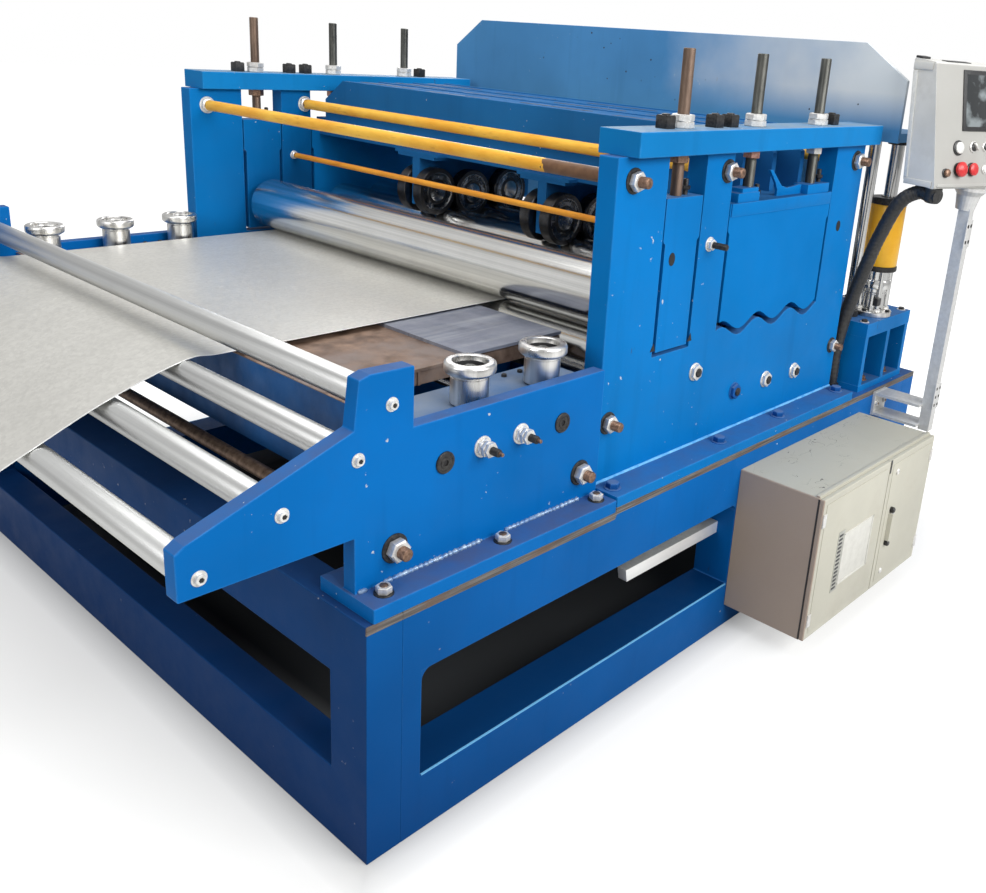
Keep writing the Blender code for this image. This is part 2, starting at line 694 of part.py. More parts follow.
def chock_across(side):
    """Y limits of a chock, flush with its housing."""
    return span(side, HOUSING_FACE, HOUSING_INNER)


def make_pinch_chocks():
    """Chocks of the upper pinch roll, each with its adjusting screw."""
    left, right = PINCH_SLOT
    outline = [(left + CHOCK_GROOVE, SLOT_FLOOR + 0.014), (right - CHOCK_GROOVE, SLOT_FLOOR + 0.014),
               (right - CHOCK_GROOVE, GROOVE_TOP - GROOVE_BEVEL), (right - CHOCK_SIDE_GAP, GROOVE_TOP),
               (right - CHOCK_SIDE_GAP, PINCH_CHOCK_TOP), (left + CHOCK_SIDE_GAP, PINCH_CHOCK_TOP),
               (left + CHOCK_SIDE_GAP, GROOVE_TOP), (left + CHOCK_GROOVE, GROOVE_TOP - GROOVE_BEVEL)]
    for name, side in SIDES:
        block = plate("XZ", outline, chock_across(side))
        fuse(block, [screw(PINCH_SCREW_X, side, PINCH_CHOCK_TOP - OVER)])
        adopt(block, f"pinch_chock_{name}", BLUE)


def bank_side_outline():
    """Side plate of the upper bank, whose lower edge follows the wavy seam."""
    left, right = BANK_SLOT
    low_left, low_right = left + CHOCK_GROOVE, right - CHOCK_GROOVE
    seam = wave_line(low_left, low_right, WAVE_GAP / 2)
    return [*seam, (low_right, GROOVE_TOP - GROOVE_BEVEL), (right - CHOCK_SIDE_GAP, GROOVE_TOP),
            (right - CHOCK_SIDE_GAP, BANK_CHOCK_TOP), (left + CHOCK_SIDE_GAP, BANK_CHOCK_TOP),
            (left + CHOCK_SIDE_GAP, GROOVE_TOP), (low_left, GROOVE_TOP - GROOVE_BEVEL)]


def make_upper_bank():
    """Upper roll bank: side plates, chamfered ribs, slotted deck, screws and roller brackets."""
    sides = [plate("XZ", bank_side_outline(), chock_across(side)) for _, side in SIDES]
    top = BANK_FRAME_TOP
    half = BANK_HALF
    slant = [(-half, BANK_CHOCK_TOP - 0.03), (half, BANK_CHOCK_TOP - 0.03),
             (half, top - BANK_CHAMFER_Z), (half - BANK_CHAMFER_Y, top),
             (-half + BANK_CHAMFER_Y, top), (-half, top - BANK_CHAMFER_Z)]
    pitch = (BANK_FRAME_END - BANK_FRAME_START - BANK_RIB) / (BANK_RIBS - 1)
    starts = [BANK_FRAME_START + i * pitch for i in range(BANK_RIBS)]
    ribs = [plate("YZ", slant, (x, x + BANK_RIB)) for x in starts]
    sole = box((BANK_FRAME_START + 0.002, BANK_FRAME_END - 0.002),
               (-HOUSING_FACE + 0.004, HOUSING_FACE - 0.004),
               (BANK_CHOCK_TOP - BANK_SOLE - 0.004, BANK_CHOCK_TOP - 0.004))
    deck = box((BANK_FRAME_START + 0.004, BANK_FRAME_END - 0.004),
               (-half + BANK_CHAMFER_Y, half - BANK_CHAMFER_Y), (top - BANK_DECK, top - 0.004))
    brackets = []
    bar_top = BRACKET_TOP - BRACKET_PLATE
    for y in BRACKETS_Y:
        brackets.append(box((BRACKET_START, BRACKET_END),
                            (y - BRACKET_FLANGE / 2, y + BRACKET_FLANGE / 2), (bar_top, BRACKET_TOP)))
        brackets.append(box((BRACKET_START + 0.002, BRACKET_END - 0.002),
                            (y - BRACKET_BAR / 2, y + BRACKET_BAR / 2),
                            (bar_top - BRACKET_PLATE, bar_top + 0.002)))
        brackets.append(box((BRACKET_START + 0.004, BRACKET_END - 0.004),
                            (y - BRACKET_STEM / 2, y + BRACKET_STEM / 2), (BRACKET_LOW, bar_top - 0.002)))
    screws = [screw(x, side, BANK_CHOCK_TOP - OVER) for _, side in SIDES for x in BANK_SCREWS_X]
    fuse(sole, [*sides, *ribs, deck, *brackets, *screws])
    bores = [rod("Y", (x, y, backup_height(x)), BACKUP_SHAFT_R + RUN, BRACKET_STEM * 3)
             for x in BACKUPS_X for y in BRACKETS_Y]
    cut(sole, bores)
    adopt(sole, "upper_bank", BLUE)


def backup_height(x):
    """Height at which a backup roller rides on the nearest work roll."""
    aside = min(abs(x - roll) for roll in UPPER_ROLLS_X)
    return UPPER_WORK_Z + math.sqrt((WORK_R + RUN + BACKUP_R) ** 2 - aside ** 2)


def roll_profile(radius, half):
    """A long roll with a journal at each end."""
    face = half - ROLL_NECK
    return [(-half, ROLL_JOURNAL_R), (-face, ROLL_JOURNAL_R), (-face, radius - 0.006),
            (-face + 0.006, radius), (face - 0.006, radius), (face, radius - 0.006),
            (face, ROLL_JOURNAL_R), (half, ROLL_JOURNAL_R)]


def make_rolls():
    """Pinch rolls, work rolls of both banks and the backup rollers."""
    half = HOUSING_INNER - GAP
    for name, z in (("upper_pinch_roll", UPPER_PINCH_Z), ("lower_pinch_roll", LOWER_PINCH_Z)):
        adopt(turned("Y", (PINCH_X, 0, z), roll_profile(PINCH_R, half), 28), name, CHROME)
    work = roll_profile(WORK_R, half)
    for i, x in enumerate(UPPER_ROLLS_X):
        adopt(turned("Y", (x, 0, UPPER_WORK_Z), work, 20), f"upper_work_roll_{i + 1}", CHROME)
    for i, x in enumerate(LOWER_ROLLS_X):
        adopt(turned("Y", (x, 0, LOWER_WORK_Z), work, 20), f"lower_work_roll_{i + 1}", CHROME)
    inner = BRACKET_STEM / 2 + BACKUP_SIDE_GAP
    outer = inner + BACKUP_WIDTH
    wheels = [(-outer, BACKUP_R), (-inner, BACKUP_R), (-inner, BACKUP_SHAFT_R),
              (inner, BACKUP_SHAFT_R), (inner, BACKUP_R), (outer, BACKUP_R)]
    places = [(x, y) for x in BACKUPS_X for y in BRACKETS_Y]
    for i, (x, y) in enumerate(places):
        pair = turned("Y", (x, y, backup_height(x)), wheels, 18)
        adopt(pair, f"backup_roller_{i + 1}", RUBBER)


def make_pedestals():
    """Ribbed pedestals of the shear with their guide columns and cylinders."""
    back = PEDESTAL_START + PEDESTAL_LENGTH
    inner = PEDESTAL_NEAR - PEDESTAL_DEPTH
    low = LEVELLER_BED + GAP
    for name, side in SIDES:
        slab = box((PEDESTAL_START, back), span(side, PEDESTAL_NEAR, inner),
                   (PEDESTAL_TOP - PEDESTAL_SLAB, PEDESTAL_TOP))
        sole = box((PEDESTAL_START, back), span(side, PEDESTAL_NEAR, inner), (low, low + 0.03))
        wall = box((PEDESTAL_START + 0.002, back - 0.002), span(side, inner, inner + PEDESTAL_RIB),
                   (low + OVER, PEDESTAL_TOP - OVER))
        ribs = [box((x, x + PEDESTAL_RIB), span(side, PEDESTAL_NEAR - 0.002, inner + 0.002),
                    (low + OVER, PEDESTAL_TOP - OVER))
                for x in (PEDESTAL_START + 0.001, PEDESTAL_START + PEDESTAL_LENGTH / 2,
                          back - PEDESTAL_RIB - 0.001)]
        column = rod("Z", (COLUMN_X, side * COLUMN_LINE, (PEDESTAL_TOP + COLUMN_TOP) / 2 - OVER / 2),
                     COLUMN_R, COLUMN_TOP - PEDESTAL_TOP + OVER, 24)
        fuse(slab, [sole, wall, *ribs, column])
        adopt(slab, f"shear_pedestal_{name}", BLUE)
        make_cylinder(name, side)


def make_cylinder(name, side):
    """Shear cylinder: flanged foot, barrel between two rings and a bore for its rod."""
    foot = CYLINDER_FOOT
    top = foot + CYLINDER_BARREL
    r = CYLINDER_R
    profile = [(0, r * 1.15), (0.022, r * 1.15), (0.022, r * 0.62), (foot * 0.55, r * 0.62),
               (foot * 0.55, r * 0.85), (foot * 0.72, r * 0.85), (foot * 0.72, r * 0.7),
               (foot - 0.02, r * 0.7), (foot - 0.02, r * 1.04), (foot, r * 1.04), (foot, r),
               (top - 0.03, r), (top - 0.03, r * 1.04), (top, r * 1.04),
               (top, PISTON_R + RUN), (top - STROKE - 0.03, PISTON_R + RUN)]
    place = (CYLINDER_X, side * CYLINDER_LINE, PEDESTAL_TOP + GAP)
    adopt(turned("Z", place, profile, 22), f"shear_cylinder_{name}", ORANGE)


def make_shear():
    """Moving beam with its blade and piston rods, and the fixed lower blade beam."""
    start = PEDESTAL_START
    back = start + BEAM_DEPTH
    outline = [(-BEAM_HALF, BEAM_LOW), (BEAM_HALF, BEAM_LOW), (BEAM_HALF, BEAM_TOP - BEAM_CORNER_Z),
               (BEAM_HALF - BEAM_CORNER_Y, BEAM_TOP), (-BEAM_HALF + BEAM_CORNER_Y, BEAM_TOP),
               (-BEAM_HALF, BEAM_TOP - BEAM_CORNER_Z)]
    front = plate("YZ", outline, (start, start + BEAM_PLATE))
    rear = box((back - BEAM_PLATE, back), (-BEAM_REAR_HALF, BEAM_REAR_HALF),
               (BEAM_LOW + OVER, BEAM_LOW + BEAM_REAR_HEIGHT))
    sole = box((start + 0.002, back - 0.002), (-BEAM_HALF + 0.002, BEAM_HALF - 0.002),
               (BEAM_LOW + 0.002, BEAM_LOW + BEAM_SOLE))
    ties = [box((start + 0.004, back - 0.004), (y - BEAM_PLATE / 2, y + BEAM_PLATE / 2),
                (BEAM_LOW + OVER, BEAM_LOW + BEAM_REAR_HEIGHT - 0.004)) for y in BEAM_TIES_Y]
    blade_low = STRIP_TOP + BLADE_OPENING
    ram = box((RAM_X - RAM_PLATE, RAM_X), (-RAM_HALF, RAM_HALF), (blade_low + OVER, BEAM_LOW + OVER))
    ram_ribs = [box((RAM_X - OVER, RAM_X + RAM_RIB_DEPTH), (y - BEAM_PLATE / 2, y + BEAM_PLATE / 2),
                    (blade_low + RAM_RIB_LIFT, BEAM_LOW + OVER)) for y in RAM_RIBS_Y]
    blade = box((RAM_X - 0.002, RAM_X + BLADE_PLATE), (-RAM_HALF + 0.01, RAM_HALF - 0.01),
                (blade_low, blade_low + BLADE_HEIGHT))
    cylinder_top = PEDESTAL_TOP + GAP + CYLINDER_FOOT + CYLINDER_BARREL
    pistons = [rod("Z", (CYLINDER_X, side * CYLINDER_LINE, (cylinder_top - 0.02 + BEAM_LOW + OVER) / 2),
                   PISTON_R, BEAM_LOW + OVER - cylinder_top + 0.02) for _, side in SIDES]
    fuse(front, [rear, sole, *ties, ram, *ram_ribs, blade, *pistons])
    cut(front, [rod("Z", (COLUMN_X, side * COLUMN_LINE, BEAM_LOW + BEAM_SOLE / 2), COLUMN_R + RUN,
                    BEAM_SOLE * 3, 24) for _, side in SIDES])
    adopt(front, "shear_beam", BLUE)

    half = PEDESTAL_NEAR - PEDESTAL_DEPTH - GAP
    low = LEVELLER_BED - CROSS_BEAM_HEIGHT
    top = STRIP_TOP - STRIP - STRIP_CLEAR
    web = box((LOWER_BEAM_X, LOWER_BEAM_X + LOWER_BEAM_WEB), (-half, half), (low + 0.03, top - 0.03))
    table = box((LOWER_BEAM_X - 0.005, LOWER_BEAM_X + LOWER_BEAM_DEPTH), (-half, half),
                (top - 0.06, top - 0.004))
    blade = box((LOWER_BEAM_X - 0.008, LOWER_BEAM_X + BLADE_PLATE), (-half + 0.01, half - 0.01),
                (top - BLADE_HEIGHT, top))
    sole = box((LOWER_BEAM_X - 0.04, LOWER_BEAM_X + LOWER_BEAM_DEPTH), (-half, half), (low, low + 0.04))
    fuse(table, [web, sole, blade])
    adopt(table, "lower_blade_beam", BLUE)


def make_cabinet():
    """Electrical cabinet with two hinged doors, open at the front behind them."""
    end = CABINET_START + CABINET_LENGTH
    back = -HALF - GAP
    front = back - CABINET_DEPTH
    z = (CABINET_LOW, CABINET_LOW + CABINET_HEIGHT)
    shell = box((CABINET_START, end), (front, back), z)
    wall = CABINET_WALL
    cut(shell, [box((CABINET_START + wall, end - wall), (front - OVER, back - wall),
                    (z[0] + wall, z[1] - wall))])
    adopt(shell, "cabinet_body", CABINET)
    split = CABINET_START + CABINET_SPLIT
    seam = DOOR_SEAM / 2
    door_y = (front - GAP - DOOR, front - GAP)
    edges = (("left", CABINET_START, split - seam, CABINET_START),
             ("right", split + seam, end, end))
    for name, low, high, hinge in edges:
        leaf = box((low - hinge, high - hinge), (-DOOR, 0.0), (z[0] + 0.002, z[1] - 0.002))
        if name == "right":
            grip = box((low - hinge + HANDLE_X - 0.014, low - hinge + HANDLE_X + 0.014),
                       (-DOOR - 0.022, -DOOR + 0.002),
                       (CABINET_LOW + 0.22, CABINET_LOW + 0.22 + HANDLE_LENGTH))
            grip.location = (hinge, door_y[1], 0)
            fuse(leaf, [grip])
        leaf.location = (hinge, door_y[1], 0)
        adopt(leaf, f"cabinet_door_{name}", CABINET)


def pendant_place():
    """Where the pendant's box stands: X along its width, Y into its depth."""
    return (Matrix.Translation((PENDANT_X, -PENDANT_LINE, PENDANT_LOW))
            @ Matrix.Rotation(math.radians(PENDANT_TURN), 4, "Z"))


def pendant_underside():
    """The sloping underside of the box, from its front edge, with Z into the box."""
    (front, low), (back, high) = PENDANT_SIDE[:2]
    slope = math.atan2(high - low, back - front)
    return pendant_place() @ Matrix.Translation((0, front, low)) @ Matrix.Rotation(slope, 4, "X")


def make_post():
    """Post of the pendant with the bracket that holds it to the base and the bowl under the box."""
    y = -POST_LINE
    half = POST_SIZE / 2
    under = pendant_underside()
    meeting = under.inverted() @ Vector((POST_X, y, PENDANT_LOW))
    sweep = [(-NECK, NECK_R * 0.9), (-NECK * 0.72, NECK_R), (-NECK * 0.35, NECK_R * 1.15),
             (-NECK * 0.12, NECK_TOP_R), (-GAP, NECK_TOP_R)]
    bowl = turned("Z", (0, 0, 0), sweep, 24)
    bowl.matrix_local = under @ Matrix.Translation((meeting.x, meeting.y, 0))
    top = PENDANT_LOW - NECK + 2 * OVER
    post = box((POST_X - half, POST_X + half), (y - half, y + half), (POST_LOW, top))
    plates = [box((POST_X - POST_PLATE_HALF, POST_X + POST_PLATE_HALF), (y + half - 0.002, -HALF - GAP),
                  (z, z + POST_PLATE)) for z in POST_PLATES_Z]
    pad = box((POST_X - POST_PLATE_HALF - 0.002, POST_X + POST_PLATE_HALF + 0.002),
              (-HALF - GAP - POST_PLATE, -HALF - GAP),
              (POST_PLATES_Z[0] - 0.002, POST_PLATES_Z[1] + POST_PLATE + 0.002))
    fuse(post, [*plates, pad, bowl])
    adopt(post, "pendant_post", PENDANT)


def make_pendant():
    """Control pendant: a box with a sloping front, and the conduit under it, down to the base."""
    head = plate("YZ", rounded(PENDANT_SIDE, PENDANT_RADIUS), (-PENDANT_WIDTH / 2, PENDANT_WIDTH / 2))
    head.matrix_local = pendant_place()
    adopt(head, "pendant_box", PENDANT)
    under = pendant_underside()
    hang = -(CONDUIT_R + GAP)
    beneath = [tuple(under @ Vector((CONDUIT_INSET - PENDANT_WIDTH / 2, back, hang - sag)))
               for back, sag in ((0.005, 0.0), (0.06, 0.001), (0.11, 0.008))]
    behind = (HOUSING_BACK + PEDESTAL_START) / 2
    down_y = -(HOUSING_FACE + HOUSING_INNER) / 2 - 0.015
    knots = [*beneath, (behind, -1.503, 1.697), (behind, -1.438, 1.538), (behind, -1.404, 1.420),
             (behind, -1.370, 1.290), (behind, -1.335, 1.140), (behind, down_y, 0.98),
             (behind, down_y, LEVELLER_BED + 0.06)]
    route = [*smooth_route(knots, 4), (behind, down_y, LEVELLER_BED + GAP)]
    adopt(tube(route, CONDUIT_R), "pendant_conduit", RUBBER)


make_base()
make_infeed_sides()
make_entry_rollers()
make_tie_rods()
make_guides()
make_table()
make_strip()
make_housings()
make_pinch_chocks()
make_upper_bank()
make_rolls()
make_pedestals()
make_shear()
make_cabinet()
make_post()
make_pendant()
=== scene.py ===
import math
import random

import bmesh
import bpy
from mathutils import Matrix, Vector


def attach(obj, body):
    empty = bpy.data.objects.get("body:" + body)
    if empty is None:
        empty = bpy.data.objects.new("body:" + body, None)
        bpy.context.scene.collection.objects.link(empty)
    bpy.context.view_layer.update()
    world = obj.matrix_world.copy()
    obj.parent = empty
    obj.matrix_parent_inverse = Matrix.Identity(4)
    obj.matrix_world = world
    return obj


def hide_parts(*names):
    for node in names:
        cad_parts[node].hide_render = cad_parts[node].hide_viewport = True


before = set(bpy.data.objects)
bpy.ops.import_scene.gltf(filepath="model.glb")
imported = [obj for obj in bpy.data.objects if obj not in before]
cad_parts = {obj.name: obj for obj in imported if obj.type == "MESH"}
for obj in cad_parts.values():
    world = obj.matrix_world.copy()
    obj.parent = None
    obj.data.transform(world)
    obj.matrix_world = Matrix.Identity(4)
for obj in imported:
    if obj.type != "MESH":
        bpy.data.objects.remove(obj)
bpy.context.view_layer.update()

FIXED = "machine_frame"
SIDES = (("near", -1), ("far", 1))
UP = (0, 0, 1)
UPRIGHT = Matrix.Rotation(math.radians(90), 4, "X")     # stands an outline up, its depth towards -Y
SEAM = 0.0003

# Places that the fitted pieces share with the solids, in metres from the infeed end of the base,
# the centre line and the floor
START = -0.06           # X of the infeed end of the base
BASE_HALF = 1.46
SILL, LINTEL = 0.20, 0.56
WINDOWS = ((0.19, 1.80), (1.99, 3.21))
BED, BED_STEP = 0.778, 0.794
FOOT_TOP, LEVEL_FOOT_TOP = 0.8223, 0.8323
INFEED_FACE, INFEED_INNER = 1.365, 1.315
GUIDE_BARS_X = (0.339, 0.823)
CARRIER_TOP, GUIDE_LINE = 1.218, 1.25
STRIP_NEAR, STRIP_FAR, STRIP_TOP, STRIP_THICK = -0.50, 1.16, 1.2505, 0.002
HOUSING_FACE, HOUSING_INNER = 1.34, 1.26
CAP_LOW, CAP_TOP = 1.9303, 2.01
SCREW_LINE = 1.30
PINCH_SCREW_X, BANK_SCREWS_X = 1.405, (1.86, 2.33)
PINCH_CHOCK_TOP, BANK_CHOCK_TOP = 1.786, 1.742
PINCH_X, UPPER_ROLLS_X, LOWER_ROLLS_X = 1.42, (1.853, 2.108, 2.363), (1.9805, 2.2355)
UPPER_ROLLS_Z, LOWER_ROLLS_Z = 1.3555, 1.1435
PEDESTAL_TOP = 1.125
CABINET_X, CABINET_Z, DOOR_SPLIT, DOOR_FACE = (1.80, 2.82), (0.10, 0.71), 2.375, -1.8286
POST_X = 3.005
CONDUIT_X, CONDUIT_Y, CONDUIT_R = 2.77, -1.315, 0.0308


def at(x, y, z):
    """A point from its distance to the infeed end, to the centre line and to the floor."""
    return Vector((START + x, y, z))


def raised(height):
    return Matrix.Translation((0, 0, height))


def scaled(colour, factor):
    return tuple(min(1.0, part * factor) for part in colour)


# Materials

class Nodes:
    """The node tree of a material or world. A value that is fed in is a socket or a constant."""

    def __init__(self, owner):
        owner.use_nodes = True
        self.tree = owner.node_tree
        self.tree.nodes.clear()
        self.place = self.add("TexCoord").outputs["Object"]

    def add(self, kind, inputs=None, **settings):
        node = self.tree.nodes.new("ShaderNode" + kind)
        for key, value in settings.items():
            setattr(node, key, value)
        for key, value in (inputs or {}).items():
            self.feed(node.inputs[key], value)
        return node

    def feed(self, target, value):
        if isinstance(value, bpy.types.NodeSocket):
            self.tree.links.new(value, target)
        else:
            target.default_value = (*value, 1.0) if target.type == "RGBA" else value

    def stretched(self, x, y, z):
        return self.add("Mapping", {"Vector": self.place, "Scale": (x, y, z)}).outputs[0]

    def noise(self, scale, detail=4.0, roughness=0.55, place=None, distortion=0.0):
        return self.add("TexNoise", {"Vector": place or self.place, "Scale": scale, "Detail": detail,
                                     "Roughness": roughness, "Distortion": distortion}).outputs["Fac"]

    def blot(self, noise, low, high, start=0.0, end=1.0):
        """Noise whose values from low to high become start to end."""
        return self.span(self.noise(*noise), low, high, start, end)

    def cells(self, scale, output="Color"):
        return self.add("TexVoronoi", {"Vector": self.place, "Scale": scale}).outputs[output]

    def span(self, value, low, high, start=0.0, end=1.0):
        """value from low to high becomes start to end, and stays between them."""
        return self.add("MapRange", {"Value": value, "From Min": low, "From Max": high, "To Min": start,
                                     "To Max": end}).outputs[0]

    def calc(self, operation, a, b=0.0):
        return self.add("Math", {0: a, 1: b}, operation=operation).outputs[0]

    def both(self, a, b):
        return self.calc("MULTIPLY", a, b)

    def above(self, value, limit):
        return self.calc("GREATER_THAN", value, limit)

    def below(self, value, limit):
        return self.calc("LESS_THAN", value, limit)

    def size(self, value):
        return self.calc("ABSOLUTE", value)

    def mix(self, share, a, b):
        return self.add("Mix", {0: share, 6: a, 7: b}, data_type="RGBA").outputs[2]

    def axis(self, name, source=None):
        return self.add("SeparateXYZ", {0: source or self.place}).outputs[name]

    def aside(self):
        """Distance from the centre line."""
        return self.size(self.axis("Y"))

    def normal(self, kind="Normal"):
        return self.add("NewGeometry").outputs[kind]

    def facing_up(self):
        """1 on faces that look up, where dust settles."""
        return self.span(self.axis("Z", self.normal()), 0.6, 0.95)

    def seen_white(self, amount, glossy):
        """Light for the camera, and glossy of it in reflections, that makes the floor and sky white."""
        rays = self.add("LightPath").outputs
        direct = self.both(self.calc("MAXIMUM", rays["Is Camera Ray"], rays["Is Transmission Ray"]), amount)
        return self.calc("ADD", self.both(rays["Is Glossy Ray"], glossy), direct)


class Look(Nodes):
    """A surface material, built up from colour, roughness and bump."""

    def __init__(self, name, **constants):
        self.material = bpy.data.materials.new(name)
        super().__init__(self.material)
        self.shader = self.add("BsdfPrincipled", {key.replace("_", " "): value
                                                  for key, value in constants.items()})
        self.add("OutputMaterial", {"Surface": self.shader.outputs[0]})

    def done(self, colour, roughness, *bumps):
        """The material, with its shader fed. A bump is a height, a distance and a strength."""
        self.feed(self.shader.inputs["Base Color"], colour)
        self.feed(self.shader.inputs["Roughness"], roughness)
        under = {}
        for height, distance, strength in bumps:
            bump = self.add("Bump", {"Height": height, "Distance": distance, "Strength": strength, **under})
            under = {"Normal": bump.outputs[0]}
        if bumps:
            self.feed(self.shader.inputs["Normal"], under["Normal"])
        return self.material


def uneven(look, base):
    """Enamel as it was brushed on."""
    return look.mix(look.blot((1.4, 3), 0.35, 0.65), scaled(base, 0.88), scaled(base, 1.10))


def paint(name, base, dust=(0.22, 0.30, 0.42), dusty=0.55, chips=1.0, roughness=0.36, band=None, edge_wear_and_highlight_amount=0.60):
    """Shop enamel: brushed-on unevenness, dust on top, chips down to primer, darker grime, and lighter blue
    edges that are partly wear and partly painted highlight.
    """
    look = Look(name, IOR=1.5, Specular_IOR_Level=0.05)
    tone = look.mix(look.blot((7.0, 5, 0.6), 0.48, 0.80, 0.0, 0.25), uneven(look, base),
                    tuple(0.80 * part + 0.012 for part in base))
    streak = look.blot((1.0, 5, 0.6, look.stretched(11, 11, 0.9)), 0.55, 0.80, 0.0, 0.30)
    tone = look.mix(streak, tone, scaled(base, 0.55))
    settled = look.both(look.facing_up(), look.blot((4.5, 6, 0.62), 0.30, 0.66, 0.35 * dusty, dusty))
    tone = look.mix(settled, tone, dust)
    chip = look.both(look.both(look.blot((46.0, 3, 0.5), 0.715, 0.735), look.blot((5.0, 2), 0.52, 0.60)), chips)
    tone = look.mix(chip, tone, (0.52, 0.55, 0.56))
    grime = look.both(look.blot((30.0, 4, 0.55, look.stretched(1, 1, 0.35)), 0.70, 0.74),
                      look.blot((3.1, 2), 0.50, 0.62, 0.0, 0.55))
    tone = look.mix(grime, tone, (0.055, 0.045, 0.04))
    # painted highlight: edges found with the bevel normal turn a lighter blue, broken up by noise like wear
    rounded = look.add("Bevel", {"Radius": 0.006}, samples=3).outputs[0]
    turn = look.add("VectorMath", {0: rounded, 1: look.normal()}, operation="DOT_PRODUCT").outputs["Value"]
    edge_wear_and_highlight = look.both(look.span(turn, 0.985, 0.90), look.blot((18.0, 4), 0.36, 0.62, 0.2 * edge_wear_and_highlight_amount, edge_wear_and_highlight_amount))
    tone = look.mix(edge_wear_and_highlight, tone, tuple(0.80 * part + low for part, low in zip(base, (0.05, 0.13, 0.24))))
    if band is not None:
        tone = band(look, tone)
    gloss = look.blot((9.0, 4), 0.3, 0.7, roughness - 0.07, roughness + 0.10)
    return look.done(tone, look.calc("ADD", gloss, look.both(settled, 0.32)),
                     (look.noise(420.0, 2, 0.5), 0.0004, 0.35), (look.noise(16.0, 3, 0.5), 0.0016, 0.30),
                     (look.calc("SUBTRACT", 1.0, chip), 0.0004, 0.6))


def machined_band(look, tone):
    """Base: a bare machined strip along its top, brown with old grease, painted shade on the window sills and a
    painted highlight along their outer edges.
    """
    height, along = look.axis("Z"), look.axis("X")
    step = look.span(along, START + 1.015, START + 1.024, BED, BED_STEP)
    strip = look.both(look.below(look.calc("SUBTRACT", step, height), 0.0245),
                      look.above(look.aside(), BASE_HALF - 0.004))
    bare = look.mix(look.blot((1.0, 5, 0.6, look.stretched(4, 4, 220)), 0.35, 0.7),
                    (0.070, 0.062, 0.060), (0.225, 0.210, 0.195))
    bare = look.mix(look.blot((9.0, 4), 0.50, 0.64, 0.0, 0.6), bare, (0.14, 0.088, 0.062))
    # painted shade: the blue darkens towards the floor and the infeed end
    painted_shade_low = look.calc("ADD", look.span(height, 0.72, 0.05, 0.0, 0.38),
                     look.span(along, START + 1.30, START, 0.0, 0.38))
    tone = look.mix(painted_shade_low, tone, (0.0010, 0.026, 0.120))
    window = look.both(look.above(along, START + WINDOWS[0][0] + 0.005),
                       look.below(along, START + WINDOWS[0][1] - 0.005))
    # painted shade on the sills inside the windows, and a painted highlight along their outer edge
    sill = look.both(look.below(look.size(look.calc("SUBTRACT", height, SILL)), 0.0035), window)
    edge = look.above(look.aside(), BASE_HALF - 0.006)
    sill_shade_and_highlight = look.mix(edge, (0.0012, 0.034, 0.125), (0.150, 0.430, 0.720))
    return look.mix(strip, look.mix(sill, tone, sill_shade_and_highlight), bare)


def end_frame_side(look, tone):
    """The end frames' darker blue is painted shade; their outer faces get the long sides' blue, and all get the
    long sides' band.
    """
    side = look.above(look.aside(), BASE_HALF - 0.0005)
    return machined_band(look, look.mix(side, tone, uneven(look, BASE_BLUE)))


def housing_inside(look, tone):
    """Painted shade: the housings' inner faces are darker towards the rolls and lower down."""
    inner = look.below(look.aside(), HOUSING_INNER + 0.0015)
    share = look.span(look.axis("X"), START + 1.12, START + 1.55, 0.05, 0.68)
    low = look.span(look.axis("Z"), 1.95, 1.50, 0.25, 1.0)
    return look.mix(look.both(inner, look.both(share, low)), tone, (0.0018, 0.032, 0.110))


def near_screw(look, x, foot):
    """1 on the adjusting screw at x, above its foot."""
    dx = look.calc("SUBTRACT", look.axis("X"), START + x)
    dy = look.calc("SUBTRACT", look.aside(), SCREW_LINE)
    away = look.calc("SQRT", look.calc("ADD", look.both(dx, dx), look.both(dy, dy)))
    return look.both(look.below(away, 0.0205), look.above(look.axis("Z"), foot + 0.001))


def pinch_screw(look, tone):
    """The screws that stand on the pinch roll's chocks are bare and brown."""
    screw = near_screw(look, PINCH_SCREW_X, PINCH_CHOCK_TOP)
    return look.mix(screw, housing_inside(look, tone), (0.145, 0.095, 0.068))


def bank_sides(look, tone):
    """The bank's chocks are finished like the housings, and its screws are bare and grey."""
    chock = look.both(look.above(look.aside(), HOUSING_INNER - 0.002),
                      look.below(look.axis("Z"), BANK_CHOCK_TOP - 0.0005))
    screws = look.calc("MAXIMUM", *[near_screw(look, x, BANK_CHOCK_TOP) for x in BANK_SCREWS_X])
    return look.mix(screws, look.mix(chock, tone, uneven(look, BLUE)), (0.075, 0.075, 0.066))


def panel_haze_and_glare(look, tone):
    """Dull film, partly dust and partly painted glare, and small dark spots on the shear's front panel, heavier
    towards the near end.
    """
    drift = look.calc("ADD", look.axis("Y"), look.blot((2.2, 4), 0.2, 0.8, -0.30, 0.30))
    # painted glare mixed with dust: the panel turns pale grey towards the near end
    film_and_glare = look.both(look.span(drift, -0.15, -1.15, 0.0, 0.92), look.span(look.axis("Z"), 1.99, 2.14))
    spots = look.both(look.below(look.cells(17.0, "Distance"), 0.085), look.blot((3.3, 2), 0.50, 0.56))
    return look.mix(spots, look.mix(film_and_glare, tone, (0.66, 0.70, 0.72)), (0.05, 0.06, 0.08))


